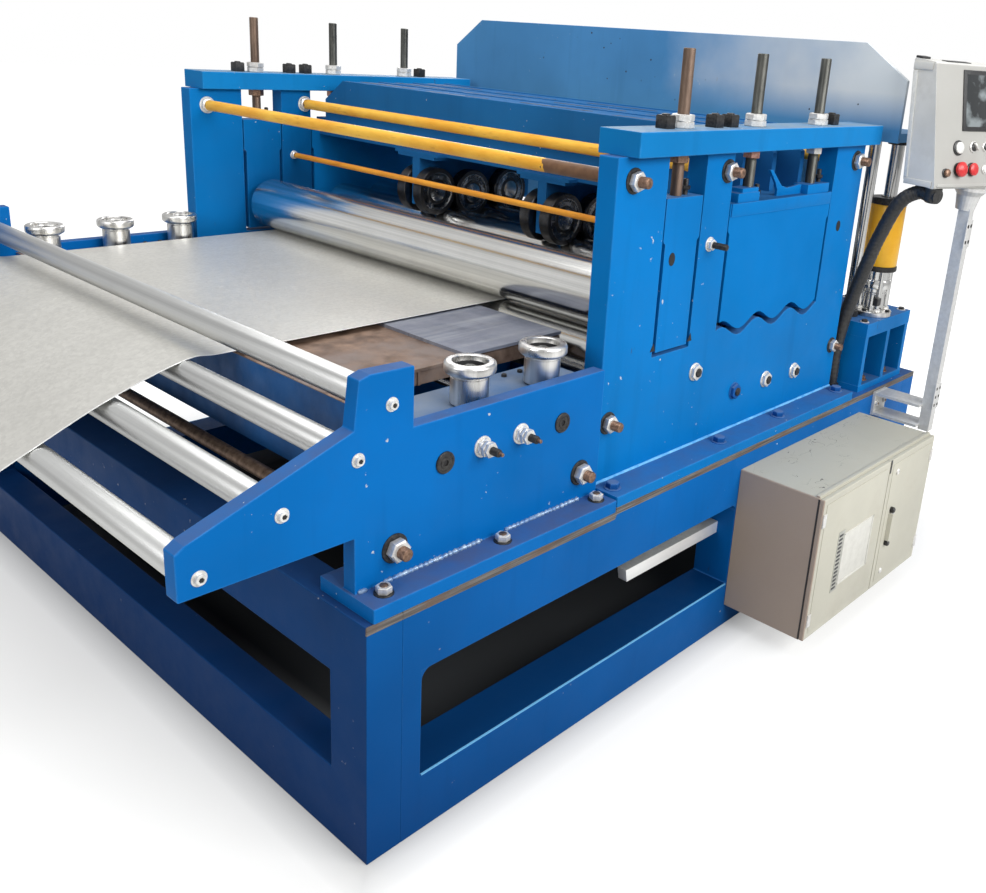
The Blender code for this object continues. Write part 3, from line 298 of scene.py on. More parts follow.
def steel(name, base, roughness=0.26, streak=(60, 0.5, 60), grind=(3, 260, 3), reflection_contrast=0.45):
    """Turned or ground steel: grinding marks round the bar, and long lighter and darker bands that are painted
    reflections.
    """
    look = Look(name, Metallic=1.0)
    reflection_bands = look.noise(1.0, 4, 0.6, look.stretched(*streak))
    # painted reflection: lighter and darker bands along the bar
    tone = look.mix(look.span(reflection_bands, 0.36, 0.64), scaled(base, 1 - reflection_contrast), scaled(base, 1.12))
    marks = look.noise(1.0, 4, 0.7, look.stretched(*grind))
    tone = look.mix(look.span(marks, 0.45, 0.75, 0.0, 0.10), tone, scaled(base, 0.62))
    tone = look.mix(look.blot((2.2, 4, 0.55), 0.50, 0.75, 0.0, 0.22), tone, scaled(base, 0.66))
    return look.done(tone, look.span(reflection_bands, 0.3, 0.75, roughness - 0.05, roughness + 0.12),
                     (marks, 0.0002, 0.15))


def galvanised(name, base):
    """Zinc-coated sheet: faint spangle, long rolling streaks, dull patches, a bright cut edge and a near-white
    painted highlight on steep faces.
    """
    look = Look(name, Metallic=0.55)
    spangle = look.span(look.axis("X", look.cells(95.0)), 0.1, 0.9)
    tone = look.mix(spangle, scaled(base, 0.93), scaled(base, 1.05))
    rolled = look.blot((1.0, 5, 0.6, look.stretched(0.6, 22, 0.6)), 0.42, 0.68, 0.0, 0.22)
    tone = look.mix(rolled, tone, scaled(base, 0.82))
    tone = look.mix(look.blot((1.7, 5, 0.6), 0.46, 0.72, 0.0, 0.45), tone, scaled(base, 0.80))
    steep_face_highlight = look.span(look.size(look.axis("Z", look.normal("True Normal"))), 0.5, 0.2)
    across = look.axis("Y")
    border = look.both(look.above(across, STRIP_NEAR - 0.0010), look.below(across, STRIP_NEAR + 0.0042))
    # painted highlight: steep faces and the strip's near cut edge turn near-white
    tone = look.mix(look.calc("MAXIMUM", steep_face_highlight, border), tone, (0.92, 0.92, 0.90))
    return look.done(tone, look.blot((60.0, 3), 0.3, 0.7, 0.34, 0.52),
                     (look.noise(1.0, 3, 0.5, look.stretched(3, 60, 3)), 0.0002, 0.12),
                     (look.noise(2.5, 2), 0.004, 0.30))


def mottled(name, dark, light, scale=60.0, roughness=0.5, metallic=0.0, grain=0.0004, third=None,
            stretch=(1, 1, 1), **constants):
    """Anything with a fine uneven surface: rust, mill scale, powder coat, rubber, plastics."""
    look = Look(name, Metallic=metallic, **constants)
    place = look.stretched(*stretch)
    fine = look.noise(scale, 5, 0.62, place)
    broad = look.noise(scale / 9, 4, 0.6, place)
    tone = look.mix(look.span(broad, 0.5, 0.75, 0.0, 0.55), look.mix(look.span(fine, 0.34, 0.66), dark, light),
                    third or scaled(dark, 0.8))
    return look.done(tone, look.span(broad, 0.3, 0.7, roughness - 0.06, roughness + 0.10), (fine, grain, 0.5))


def enamelled_rod(name, base, deep, bare_near):
    """Painted tie rod: drips and thin paint, bare brown ends."""
    look = Look(name, IOR=1.5, Specular_IOR_Level=0.25)
    tone = look.mix(look.blot((1.0, 4, 0.6, look.stretched(14, 3.2, 14)), 0.36, 0.64), deep, base)
    tone = look.mix(look.blot((1.0, 5, 0.65, look.stretched(60, 9, 60)), 0.58, 0.74, 0.0, 0.6), tone,
                    (0.34, 0.13, 0.03))
    across = look.calc("ADD", look.axis("Y"), look.blot((40.0, 3), 0.3, 0.7, -0.012, 0.012))
    ends = look.calc("MAXIMUM", look.below(across, -1.255 + bare_near), look.above(across, 1.235))
    tone = look.mix(ends, tone, look.mix(look.noise(30.0, 4), (0.085, 0.042, 0.028), (0.25, 0.135, 0.070)))
    return look.done(tone, look.blot((20.0, 3), 0.3, 0.7, 0.30, 0.46), (look.noise(50.0, 3), 0.0007, 0.35))


def table_steel(name):
    """Bare plate: rusty brown in front, blue-grey mill scale on the rear plate, a painted front edge."""
    look = Look(name, Metallic=0.45)
    along, height = look.axis("X"), look.axis("Z")
    rust = look.noise(13.0, 6, 0.62)
    brown = look.mix(look.span(rust, 0.35, 0.65), (0.115, 0.070, 0.048), (0.300, 0.205, 0.150))
    brown = look.mix(look.blot((3.2, 5, 0.6), 0.46, 0.62, 0.0, 0.8), brown, (0.235, 0.195, 0.180))
    grey = look.mix(look.blot((5.0, 6, 0.6), 0.34, 0.66), (0.150, 0.165, 0.215), (0.270, 0.285, 0.340))
    grey = look.mix(look.blot((1.0, 4, 0.6, look.stretched(2, 30, 2)), 0.5, 0.72, 0.0, 0.5), grey,
                    (0.40, 0.42, 0.46))
    rear = look.both(look.above(along, START + 0.7995), look.above(height, 1.2302))
    apron = look.both(look.below(along, START + 0.2442), look.below(height, 1.2275))
    blue = look.mix(look.blot((3.0, 5, 0.6), 0.4, 0.7), (0.004, 0.090, 0.290), (0.016, 0.060, 0.170))
    return look.done(look.mix(apron, look.mix(rear, brown, grey), blue), look.span(rust, 0.3, 0.7, 0.42, 0.68),
                     (rust, 0.0010, 0.4))


def pendant_coat(name):
    """Off-white coat with faint stains, and painted shade that makes the front faces greyer."""
    look = Look(name, Specular_IOR_Level=0.3)
    tone = look.mix(look.blot((5.0, 4), 0.35, 0.65), (0.60, 0.595, 0.565), (0.68, 0.675, 0.645))
    # painted shade on the faces that look towards -Y
    front = look.span(look.axis("Y", look.normal()), -0.70, -0.90)
    tone = look.mix(look.both(front, 0.75), tone, (0.33, 0.325, 0.305))
    tone = look.mix(look.blot((9.0, 5, 0.6), 0.52, 0.78, 0.0, 0.4), tone, (0.40, 0.385, 0.355))
    return look.done(tone, look.blot((12.0, 3), 0.3, 0.7, 0.36, 0.48), (look.noise(220.0, 2), 0.0002, 0.3))


def powder_coat(name, base):
    """Cabinet coat: soft texture, stains, a brown infeed side and a few dark scratches on top."""
    look = Look(name, Specular_IOR_Level=0.3)
    tone = look.mix(look.blot((2.0, 4), 0.35, 0.65), scaled(base, 0.93), scaled(base, 1.06))
    tone = look.mix(look.blot((4.0, 6, 0.65), 0.48, 0.75, 0.0, 0.35), tone, (0.36, 0.325, 0.265))
    left = look.below(look.axis("X"), START + CABINET_X[0] + 0.006)
    tone = look.mix(look.both(left, 0.80), tone, (0.325, 0.232, 0.182))
    tone = look.mix(look.both(look.facing_up(), 0.45), tone, (0.330, 0.315, 0.250))
    lines = look.calc("SUBTRACT", look.noise(1.0, 2, 0.4, look.stretched(9, 16, 9), 1.2), 0.5)
    where = look.both(look.blot((6.0, 2), 0.56, 0.60), look.facing_up())
    tone = look.mix(look.both(look.below(look.size(lines), 0.0035), where), tone, (0.05, 0.045, 0.04))
    return look.done(tone, look.blot((6.0, 4), 0.3, 0.7, 0.40, 0.54),
                     (look.noise(260.0, 3), 0.0003, 0.3), (look.noise(3.5, 2), 0.0030, 0.25))


def screen_glass(name):
    look = Look(name, Coat_Weight=0.6)
    tone = look.mix(look.blot((11.0, 4, 0.5), 0.46, 0.62), (0.016, 0.019, 0.021), (0.22, 0.25, 0.26))
    return look.done(tone, look.blot((60.0, 3), 0.3, 0.7, 0.05, 0.14))


BLUE = (0.0024, 0.162, 0.470)
BASE_BLUE = (0.0022, 0.118, 0.400)
YELLOW, DEEP_YELLOW = (0.92, 0.54, 0.075), (0.78, 0.36, 0.030)
LENGTHWISE = (1, 1, 0.2)

FINISH = {
    "housing": paint("housing_enamel", BLUE, dust=(0.070, 0.120, 0.250), dusty=0.80, band=housing_inside),
    "cap": paint("cap_enamel", (0.0060, 0.185, 0.480), dust=(0.235, 0.300, 0.340), dusty=0.95),
    "plate": paint("infeed_enamel", (0.0018, 0.132, 0.430), dust=(0.070, 0.095, 0.190), dusty=0.85),
    "base": paint("base_enamel", BASE_BLUE, dust=(0.06, 0.11, 0.24), band=machined_band),
    # painted shade: the end frames and the cross beam get a darker blue than the base
    "end": paint("shaded_end_enamel", (0.0022, 0.060, 0.215), dust=(0.05, 0.09, 0.20), band=end_frame_side),
    "chock": paint("chock_enamel", BLUE, band=pinch_screw),
    "bank": paint("bank_enamel", (0.014, 0.125, 0.340), dust=(0.030, 0.110, 0.250), dusty=0.75,
                  roughness=0.60, edge_wear_and_highlight_amount=0.12, band=bank_sides),
    "panel": paint("panel_enamel", (0.075, 0.250, 0.500), dust=(0.20, 0.28, 0.38), chips=0.3, band=panel_haze_and_glare),
    "carrier": paint("carrier_enamel", (0.020, 0.110, 0.300), dust=(0.20, 0.24, 0.30), dusty=0.95),
    "blue_bolt": paint("painted_bolt", (0.010, 0.085, 0.300), chips=0.6, roughness=0.40),
    "roller": steel("ground_roller", (0.66, 0.665, 0.655), 0.36, (24, 0.20, 24), reflection_contrast=0.20),
    "guide": steel("turned_guide", (0.76, 0.75, 0.73), 0.27, (26, 26, 0.5), (3, 3, 300), 0.30),
    "chrome": steel("rolled_chrome", (0.86, 0.86, 0.84), 0.17, (26, 0.10, 26), reflection_contrast=0.38),
    "rod": steel("rod_chrome", (0.78, 0.78, 0.77), 0.14, (30, 30, 0.5), (2, 2, 320), 0.25),
    "blade": steel("blade_steel", (0.46, 0.45, 0.43), 0.34, (2, 3, 60), (6, 3, 300)),
    "rim": steel("wheel_rim", (0.55, 0.55, 0.55), 0.22, (18, 1, 18)),
    "sheet": galvanised("galvanised_strip", (0.665, 0.655, 0.615)),
    "duct": galvanised("galvanised_duct", (0.52, 0.52, 0.47)),
    "table": table_steel("bare_table"),
    "yellow": enamelled_rod("rod_enamel", YELLOW, DEEP_YELLOW, 0.030),
    "front_yellow": enamelled_rod("front_rod_enamel", YELLOW, DEEP_YELLOW, 0.30),
    "orange": enamelled_rod("thin_rod_enamel", (0.88, 0.40, 0.045), (0.66, 0.24, 0.020), 0.03),
    "cabinet": powder_coat("cabinet_coat", (0.545, 0.530, 0.450)),
    "pendant": pendant_coat("pendant_coat"),
    "glass": screen_glass("screen_glass"),
    "tie": mottled("brown_bar", (0.10, 0.062, 0.042), (0.27, 0.185, 0.13), 45, 0.45, 0.7, 0.0006),
    "nut": mottled("zinc_nut", (0.62, 0.61, 0.59), (0.88, 0.87, 0.84), 60, 0.30, 0.45, 0.0002,
                   (0.42, 0.38, 0.34)),
    "brown": mottled("brown_nut", (0.13, 0.075, 0.050), (0.34, 0.215, 0.150), 90, 0.42, 0.75),
    "black_bolt": mottled("black_oxide", (0.018, 0.018, 0.020), (0.060, 0.058, 0.055), 90, 0.38, 0.6),
    "screw": mottled("oiled_screw", (0.095, 0.062, 0.045), (0.215, 0.145, 0.105), 30, 0.40, 0.6,
                     stretch=LENGTHWISE),
    "dark_screw": mottled("dark_screw", (0.045, 0.046, 0.042), (0.130, 0.130, 0.116), 30, 0.36, 0.7,
                          stretch=LENGTHWISE),
    "copper": mottled("copper_nut", (0.26, 0.13, 0.10), (0.50, 0.30, 0.25), 90, 0.36, 0.85),
    # painted highlight: a light blue fillet line along the foot of the housings
    "fillet": mottled("highlight_fillet", (0.06, 0.32, 0.70), (0.22, 0.55, 0.85), 20, 0.30, 0.0, 0.0006,
                      (0.02, 0.24, 0.62), Specular_IOR_Level=0.3),
    "weld": mottled("weld_bead", (0.05, 0.15, 0.36), (0.42, 0.52, 0.62), 75, 0.35, 0.3, 0.0012,
                    (0.02, 0.12, 0.36)),
    "cylinder": mottled("cylinder_enamel", (0.84, 0.40, 0.012), (0.92, 0.52, 0.030), 9, 0.28, 0.0, 0.0003,
                        (0.74, 0.30, 0.010), IOR=1.5),
    "wheel": mottled("blackened_wheel", (0.035, 0.035, 0.037), (0.10, 0.10, 0.105), 20, 0.24, 0.85),
    # painted shade: dark colours for slots, holes and recesses
    "slot": mottled("shaded_slot", (0.006, 0.022, 0.060), (0.012, 0.045, 0.120), 50, 0.7),
    "dark": mottled("dark_recess", (0.004, 0.004, 0.005), (0.012, 0.012, 0.013), 50, 0.7),
    "post": mottled("post_coat", (0.58, 0.58, 0.57), (0.68, 0.68, 0.67), 60, 0.38, 0.25, 0.0003,
                    (0.46, 0.44, 0.41)),
    "rubber": mottled("hose_rubber", (0.012, 0.012, 0.012), (0.034, 0.033, 0.032), 110, 0.42, 0.0, 0.0006),
    "red": mottled("red_button", (0.50, 0.020, 0.025), (0.64, 0.040, 0.040), 60, 0.30),
    "black": mottled("black_plastic", (0.014, 0.014, 0.015), (0.030, 0.030, 0.032), 90, 0.34),
    "white": mottled("white_plastic", (0.66, 0.66, 0.63), (0.76, 0.76, 0.73), 70, 0.34),
    "pale": mottled("pale_plate", (0.62, 0.61, 0.56), (0.70, 0.69, 0.64), 30, 0.45),
    "plate_label": mottled("brushed_plate", (0.42, 0.42, 0.38), (0.55, 0.55, 0.50), 90, 0.40, 0.4,
                           stretch=(0.2, 1, 3)),
}

# Mesh tools

def aim(point, axis):
    """A place whose own Z runs along axis."""
    return Matrix.Translation(point) @ Vector(axis).to_track_quat("Z", "Y").to_matrix().to_4x4()


def tube_faces(rings, sides, closed=True):
    """Faces between rings of vertices, with both ends filled where the tube is closed."""
    faces = []
    for i in range(rings - 1):
        here, there = i * sides, (i + 1) * sides
        faces += [(here + k, here + (k + 1) % sides, there + (k + 1) % sides, there + k) for k in range(sides)]
    if closed:
        faces += [tuple(range(sides))[::-1], tuple((rings - 1) * sides + k for k in range(sides))]
    return faces


def spin(profile, sides, place, turn=0.0, closed=True):
    """A solid of revolution from (height, radius) pairs."""
    angles = [turn + 2 * math.pi * k / sides for k in range(sides)]
    verts = [place @ Vector((r * math.cos(a), r * math.sin(a), z)) for z, r in profile for a in angles]
    return verts, tube_faces(len(profile), sides, closed)


def chamfer(mesh, edges, width):
    bmesh.ops.bevel(mesh, geom=edges, offset=width, segments=2, profile=0.6, affect="EDGES")


def taken_from(mesh, place):
    mesh.verts.index_update()
    verts = [place @ v.co for v in mesh.verts]
    faces = [tuple(v.index for v in f.verts) for f in mesh.faces]
    mesh.free()
    return verts, faces


def block(corner, other, bevel=0.003, place=Matrix()):
    """A box between two opposite corners, with chamfered edges."""
    size = [abs(b - a) for a, b in zip(corner, other)]
    mesh = bmesh.new()
    bmesh.ops.create_cube(mesh, size=1.0)
    for vert in mesh.verts:
        vert.co = Vector([vert.co[i] * size[i] + (corner[i] + other[i]) / 2 for i in range(3)])
    if bevel:
        chamfer(mesh, mesh.edges[:], min(bevel, min(size) * 0.3))
    return taken_from(mesh, place)


def prism(outline, depth, place, bevel=0.0):
    """A flat outline in the place's XY plane, carried along its Z by depth."""
    mesh = bmesh.new()
    face = mesh.faces.new([mesh.verts.new((u, v, 0.0)) for u, v in outline])
    made = bmesh.ops.extrude_face_region(mesh, geom=[face])
    moved = [v for v in made["geom"] if isinstance(v, bmesh.types.BMVert)]
    bmesh.ops.translate(mesh, verts=moved, vec=(0, 0, depth))
    bmesh.ops.recalc_face_normals(mesh, faces=mesh.faces[:])
    if bevel:
        chamfer(mesh, [e for e in mesh.edges if len(e.link_faces) == 2 and e.calc_face_angle() > 0.5], bevel)
    return taken_from(mesh, place)


def upright(outline, y, depth, bevel=0.0):
    """A prism from an outline in X and Z, from y towards -Y."""
    return prism([(START + x, z) for x, z in outline], depth, Matrix.Translation((0, y, 0)) @ UPRIGHT, bevel)


def sweep(points, radius, sides, ripple):
    """A round tube along some points; ripple(i) scales its radius at each."""
    normal = None
    verts = []
    for i, point in enumerate(points):
        ahead = (points[min(i + 1, len(points) - 1)] - points[max(i - 1, 0)]).normalized()
        if normal is None:
            normal = ahead.orthogonal().normalized()
        normal = (normal - ahead * normal.dot(ahead)).normalized()
        side = ahead.cross(normal)
        r = radius * ripple(i)
        for k in range(sides):
            a = 2 * math.pi * k / sides
            verts.append(point + normal * (r * math.cos(a)) + side * (r * math.sin(a)))
    return verts, tube_faces(len(points), sides)


def smooth_route(knots, steps):
    """A smooth curve through some knots."""
    places = [Vector(knot) for knot in knots]
    padded = [places[0] * 2 - places[1]] + places + [places[-1] * 2 - places[-2]]
    made = []
    for i in range(1, len(padded) - 2):
        before, here, there, after = padded[i - 1:i + 3]
        for k in range(steps):
            t = k / steps
            made.append((here * 2 + (there - before) * t
                         + (before * 2 - here * 5 + there * 4 - after) * t ** 2
                         + (here * 3 - before - there * 3 + after) * t ** 3) * 0.5)
    return made + [places[-1]]


def nut(radius, height, place, turn=0.3):
    """Hexagon nut with chamfered corners."""
    r = radius
    return spin([(0, r * 0.94), (height * 0.10, r), (height * 0.88, r), (height, r * 0.88)], 6, place, turn)


def bored_nut(radius, height, place, turn, bore=0.0262):
    """Hexagon nut that a screw slides through."""
    r = radius
    return spin([(0, bore), (0, r * 0.94), (height * 0.10, r), (height * 0.88, r), (height, r * 0.88),
                 (height, bore), (0, bore)], 6, place, turn, closed=False)


def washer(radius, thickness, place):
    return spin([(0, radius), (thickness * 0.6, radius), (thickness, radius - thickness * 0.35)], 28, place)


def threaded(radius, length, place, pitch=0.0035, sides=20, depth=0.0013, start=0.0):
    """A threaded bar with a chamfered end."""
    rings = [(start, radius - depth)]
    count = max(2, int((length - start - 0.003) / pitch))
    step = (length - start - 0.003) / count
    for i in range(count):
        z = start + i * step
        rings += [(z + step * 0.30, radius), (z + step * 0.55, radius), (z + step * 0.98, radius - depth)]
    rings += [(length - 0.0015, radius - depth), (length, radius - depth - 0.003)]
    return spin(rings, sides, place)


# Pieces


def piece(name, parts, look, body, replaces=(), angle=38):
    """One object from several shells, smooth except at its sharp edges."""
    verts, faces = [], []
    for some_verts, some_faces in parts:
        start = len(verts)
        verts.extend(some_verts)
        faces.extend(tuple(start + i for i in face) for face in some_faces)
    mesh = bpy.data.meshes.new(name)
    mesh.from_pydata([tuple(v) for v in verts], [], faces)
    mesh.materials.append(FINISH[look])
    mesh.polygons.foreach_set("use_smooth", [True] * len(mesh.polygons))
    mesh.set_sharp_from_angle(angle=math.radians(angle))
    mesh.update()
    made = bpy.data.objects.new(name, mesh)
    bpy.context.scene.collection.objects.link(made)
    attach(made, body)
    if replaces:
        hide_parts(*replaces)


def mirrored(half_profile):
    """A profile along both halves of a bar, from its middle outwards."""
    return [(-z, r) for z, r in half_profile[::-1]] + list(half_profile[1:])


def bar(name, x, z, half_profile, look, body=None, sides=64):
    """A long turned piece across the machine that stands for its solid."""
    turned = spin(mirrored(half_profile), sides, aim(at(x, 0.0, z), (0, 1, 0)))
    piece(name + "_turned", [turned], look, body or name, [name])


class Kit:
    """Small fittings. All kits' fittings are gathered by group, body and finish into one piece each."""
    heaps = {}

    def __init__(self, group, body=FIXED):
        self.group, self.body = group, body

    def add(self, look, part):
        Kit.heaps.setdefault((self.group, self.body, look), []).append(part)

    def turned(self, look, place, sides, profile, turn=0.0, closed=True):
        self.add(look, spin(profile, sides, place, turn, closed))

    def box(self, look, corner, other, bevel, place=Matrix()):
        self.add(look, block(corner, other, bevel, place))

    def fixing(self, point, axis, radius, height, stud, look="nut", stud_look="brown", plate=1.28,
               turn=0.3, plate_look=None):
        """Washer, nut and the end of a stud, standing on a face."""
        place = aim(point, axis)
        thick = radius * 0.14
        self.add(plate_look or look, washer(radius * plate, thick, place))
        self.add(look, nut(radius, height, place @ raised(thick), turn))
        if stud:
            self.add(stud_look, threaded(radius * 0.56, thick + height + stud, place,
                                         start=thick + height * 0.5))

    def bolt(self, point, axis, radius, height, look="nut", plate=1.5):
        """Socket-head screw on a washer, with its hexagon recess."""
        place, r = aim(point, axis), radius
        if plate:
            self.add("nut", washer(r * plate, r * 0.16, place))
        self.turned(look, place, 24, [(0, r), (height - r * 0.14, r), (height, r * 0.86), (height, r * 0.56),
                                      (height * 0.9, r * 0.52)])
        # painted shade: a dark hexagon in the recess
        self.turned("dark", place, 6, [(height * 0.9, r * 0.5), (height * 0.9 + 0.0008, r * 0.5)])


def each_side(group, body=FIXED):
    """A kit, the sign of Y and the outward direction, for the near and for the far side."""
    return [(Kit(f"{group}_{name}", body), side, (0, side, 0)) for name, side in SIDES]


# Finish of the solids that stay

STAYING = {
    "base": "base_side_near base_side_far", "end": "base_end_infeed base_end_outfeed base_cross_beam",
    "plate": "infeed_side_near infeed_side_far lower_blade_beam",
    "housing": "housing_near housing_far shear_pedestal_near shear_pedestal_far",
    "cap": "cap_bar_near cap_bar_far", "chock": "pinch_chock_near pinch_chock_far", "bank": "upper_bank",
    "carrier": "guide_carrier_near guide_carrier_far", "table": "entry_table", "panel": "shear_beam",
    "cabinet": "cabinet_body cabinet_door_left cabinet_door_right", "pendant": "pendant_box",
    "post": "pendant_post",
}
BEVELS = {"pendant_box": 0.004, "pendant_post": 0.002, "cabinet_door_left": 0.004,
          "cabinet_door_right": 0.004, "cabinet_body": 0.003, "entry_table": 0.0015}
for look, names in STAYING.items():
    for name in names.split():
        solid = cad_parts[name]
        for slot in solid.material_slots:
            slot.material = FINISH[look]
        solid.modifiers.new("join", "WELD").merge_threshold = 0.00002
        edge = solid.modifiers.new("edges", "BEVEL")
        edge.width = BEVELS.get(name, 0.0035)
        edge.segments = 2
        edge.limit_method = "ANGLE"
        edge.angle_limit = math.radians(40)

# Entry guide

INNER = INFEED_INNER - SEAM
ROLLER_END = INFEED_INNER - 0.018
ROLLER = [(0, 0.04), (ROLLER_END - 0.010, 0.04), (ROLLER_END - 0.0085, 0.0392),
          (ROLLER_END - 0.007, 0.04), (ROLLER_END - 0.002, 0.04), (ROLLER_END, 0.038),
          (ROLLER_END, 0.034), (ROLLER_END - 0.005, 0.032), (ROLLER_END - 0.005, 0.021),
          (ROLLER_END + 0.001, 0.019), (ROLLER_END + 0.001, 0.014), (INNER, 0.014)]
ROLLERS = {"entry_roller_1": (-0.394, 1.039), "entry_roller_2": (-0.177, 1.126),
           "entry_roller_3": (0.046, 1.208), "holddown_roller": (0.153, 1.336)}
for name, (x, z) in ROLLERS.items():
    bar(name, x, z, ROLLER, "roller")
    for kit, side, out in each_side("infeed"):
        kit.bolt(at(x, side * INFEED_FACE, z), out, 0.0135, 0.013)

for name, (x, z) in (("infeed_tie_front", (0.165, 0.915)), ("infeed_tie_rear", (0.925, 0.919))):
    bar(name, x, z, [(0, 0.022), (INNER - 0.022, 0.022), (INNER - 0.022, 0.036), (INNER - 0.020, 0.038),
                     (INNER - 0.002, 0.038), (INNER, 0.036)], "tie", FIXED, 40)
    for kit, side, out in each_side("infeed"):
        kit.fixing(at(x, side * INFEED_FACE, z), out, 0.034, 0.028, 0.026, plate_look="black_bolt", turn=0.1)

for name, x in zip(("guide_bar_front", "guide_bar_rear"), GUIDE_BARS_X):
    bar(name, x, 1.12, [(0, 0.03), (INNER - 0.002, 0.03), (INNER, 0.0285)], "rod", FIXED)
    for kit, side, out in each_side("infeed"):
        cap = aim(at(x, side * INFEED_FACE, 1.12), out)
        kit.turned("black_bolt", cap, 36, [(0, 0.033), (0.004, 0.033), (0.006, 0.031), (0.006, 0.025),
                                           (0.0045, 0.024), (0.0045, 0.018), (0.006, 0.017),
                                           (0.006, 0.009), (0.002, 0.008)])
        # painted shade: a dark hexagon in the cap's recess
        kit.turned("dark", cap, 6, [(0.001, 0.0085), (0.0022, 0.0085)])

for kit, side, out in each_side("infeed"):
    # guide setting screws with their stacks of nuts
    for x in (0.482, 0.639):
        place = aim(at(x, side * INFEED_FACE, 1.130), out)
        kit.add("nut", washer(0.033, 0.004, place))
        for i, (low, radius, thick) in enumerate(((0.004, 0.028, 0.012), (0.0175, 0.026, 0.012),
                                                  (0.031, 0.024, 0.010)), 1):
            kit.add("nut", nut(radius, thick, place @ raised(low), 0.35 * i))
        kit.add("black_bolt", threaded(0.0125, 0.072, place, 0.003, 18, 0.0012, 0.03))
        kit.turned("brown", place, 12, [(0.070, 0.006), (0.084, 0.006), (0.085, 0.005)])
    for x in (0.096, 0.539, 0.970):
        kit.fixing(at(x, side * 1.408, FOOT_TOP), UP, 0.023, 0.020, 0.004, "nut", "screw", 1.22, 0.2,
                   "black_bolt")
    # weld along the foot
    random.seed(11 if side < 0 else 12)
    for start, end in ((0.042, 0.070), (0.125, 0.490), (0.585, 0.925)):
        steps = int((end - start) / 0.006)
        line = [at(start + (end - start) * i / steps, side * (INFEED_FACE + 0.003), FOOT_TOP + 0.0035)
                for i in range(steps + 1)]
        swell = [1.0 + 0.28 * math.sin(i * 2.1) + random.uniform(-0.16, 0.16) for i in range(steps + 1)]
        swell[0] = swell[-1] = 0.5
        kit.add("weld", sweep(line, 0.0070, 10, lambda i: swell[i]))

# Guide rollers: a wide drum with a deep recess, lined with a dark ring of painted shade
GUIDE = [(0, 0.030), (0.004, 0.030), (0.004, 0.0555), (0.007, 0.058), (0.086, 0.058), (0.088, 0.0555),
         (0.091, 0.0555), (0.093, 0.060), (0.101, 0.0735), (0.1045, 0.0765), (0.108, 0.078),
         (0.126, 0.078), (0.131, 0.0765), (0.1345, 0.0720), (0.135, 0.069), (0.135, 0.0560),
         (0.1325, 0.0530), (0.112, 0.0520), (0.108, 0.050), (0.104, 0.047), (0.104, 0.001)]
GUIDES = {"near": (0.53, 0.84), "far": (0.335, 0.64, 0.945)}
for side_name, side in SIDES:
    for i, x in enumerate(GUIDES[side_name], 1):
        name = f"guide_roller_{side_name}_{i}"
        place = Matrix.Translation(at(x, side * GUIDE_LINE, CARRIER_TOP + SEAM))
        piece(name + "_turned", [spin(GUIDE, 72, place)], "guide", name, [name])
        kit = Kit(name, name)
        kit.turned("dark", place, 48, [(0.1045, 0.0515), (0.1180, 0.0512), (0.1180, 0.0470),
                                       (0.1080, 0.0460), (0.1070, 0.034)])
        kit.turned("black_bolt", place, 36, [(0.1060, 0.033), (0.1100, 0.033), (0.1115, 0.031),
                                             (0.1115, 0.020)])
        kit.add("dark_screw", nut(0.0165, 0.009, place @ raised(0.1110)))

for side_name, side in SIDES:
    kit = Kit(f"carrier_{side_name}", f"{side_name}_guide")
    for x in GUIDE_BARS_X:
        for dx in (-0.036, 0.036):
            for y in (1.135, 1.285):
                kit.bolt(at(x + dx, side * y, CARRIER_TOP), UP, 0.009, 0.009, "black_bolt", 0)
    for x in GUIDES[side_name]:
        kit.add("nut", washer(0.0325, 0.0002, Matrix.Translation(at(x, side * GUIDE_LINE, CARRIER_TOP))))


# Strip of sheet

def strip_line():
    """Underside of the strip, over the rollers and through the rolls."""
    under = STRIP_TOP - STRIP_THICK
    knots = []
    for roller, slope, lift, before in ((1, 25, 0.001, 0.10), (1, 25, 0.001, 0.0), (2, 21, 0.010, 0.0),
                                        (3, 7, 0.0, 0.0)):
        x, z = ROLLERS[f"entry_roller_{roller}"]
        reach, a = 0.041 + lift, math.radians(slope)
        knots.append((x - reach * math.sin(a) - before * math.cos(a), 0,
                      z + reach * math.cos(a) - before * math.sin(a)))
    knots += [(0.153, 0, under), (0.353, 0, under)]
    return [(p.x, p.z) for p in smooth_route(knots, 14)] + [(x, under) for x in (0.9, 1.6, 2.3, 2.95)]


def strip(rows=40):
    """The strip as one thin closed sheet, in rows across its width."""
    line = strip_line()
    n, m = len(line), rows + 1
    verts = [at(x, STRIP_NEAR + (STRIP_FAR - STRIP_NEAR) * k / rows, z + layer)
             for layer in (0.0, STRIP_THICK) for x, z in line for k in range(m)]

    def quad(*corners):
        return tuple(layer * n * m + i * m + k for layer, i, k in corners)

    faces = []
    for i in range(n - 1):
        for k in range(rows):
            faces.append(quad((1, i, k), (1, i + 1, k), (1, i + 1, k + 1), (1, i, k + 1)))
            faces.append(quad((0, i, k), (0, i, k + 1), (0, i + 1, k + 1), (0, i + 1, k)))
        faces.append(quad((0, i, 0), (0, i + 1, 0), (1, i + 1, 0), (1, i, 0)))
        faces.append(quad((1, i, rows), (1, i + 1, rows), (0, i + 1, rows), (0, i, rows)))
    for k in range(rows):
        faces.append(quad((0, 0, k), (1, 0, k), (1, 0, k + 1), (0, 0, k + 1)))
        faces.append(quad((0, n - 1, k), (0, n - 1, k + 1), (1, n - 1, k + 1), (1, n - 1, k)))
    return verts, faces


piece("strip_of_sheet", [strip()], "sheet", FIXED, ["sheet_strip"])

# Leveller

JOURNAL = HOUSING_INNER - SEAM


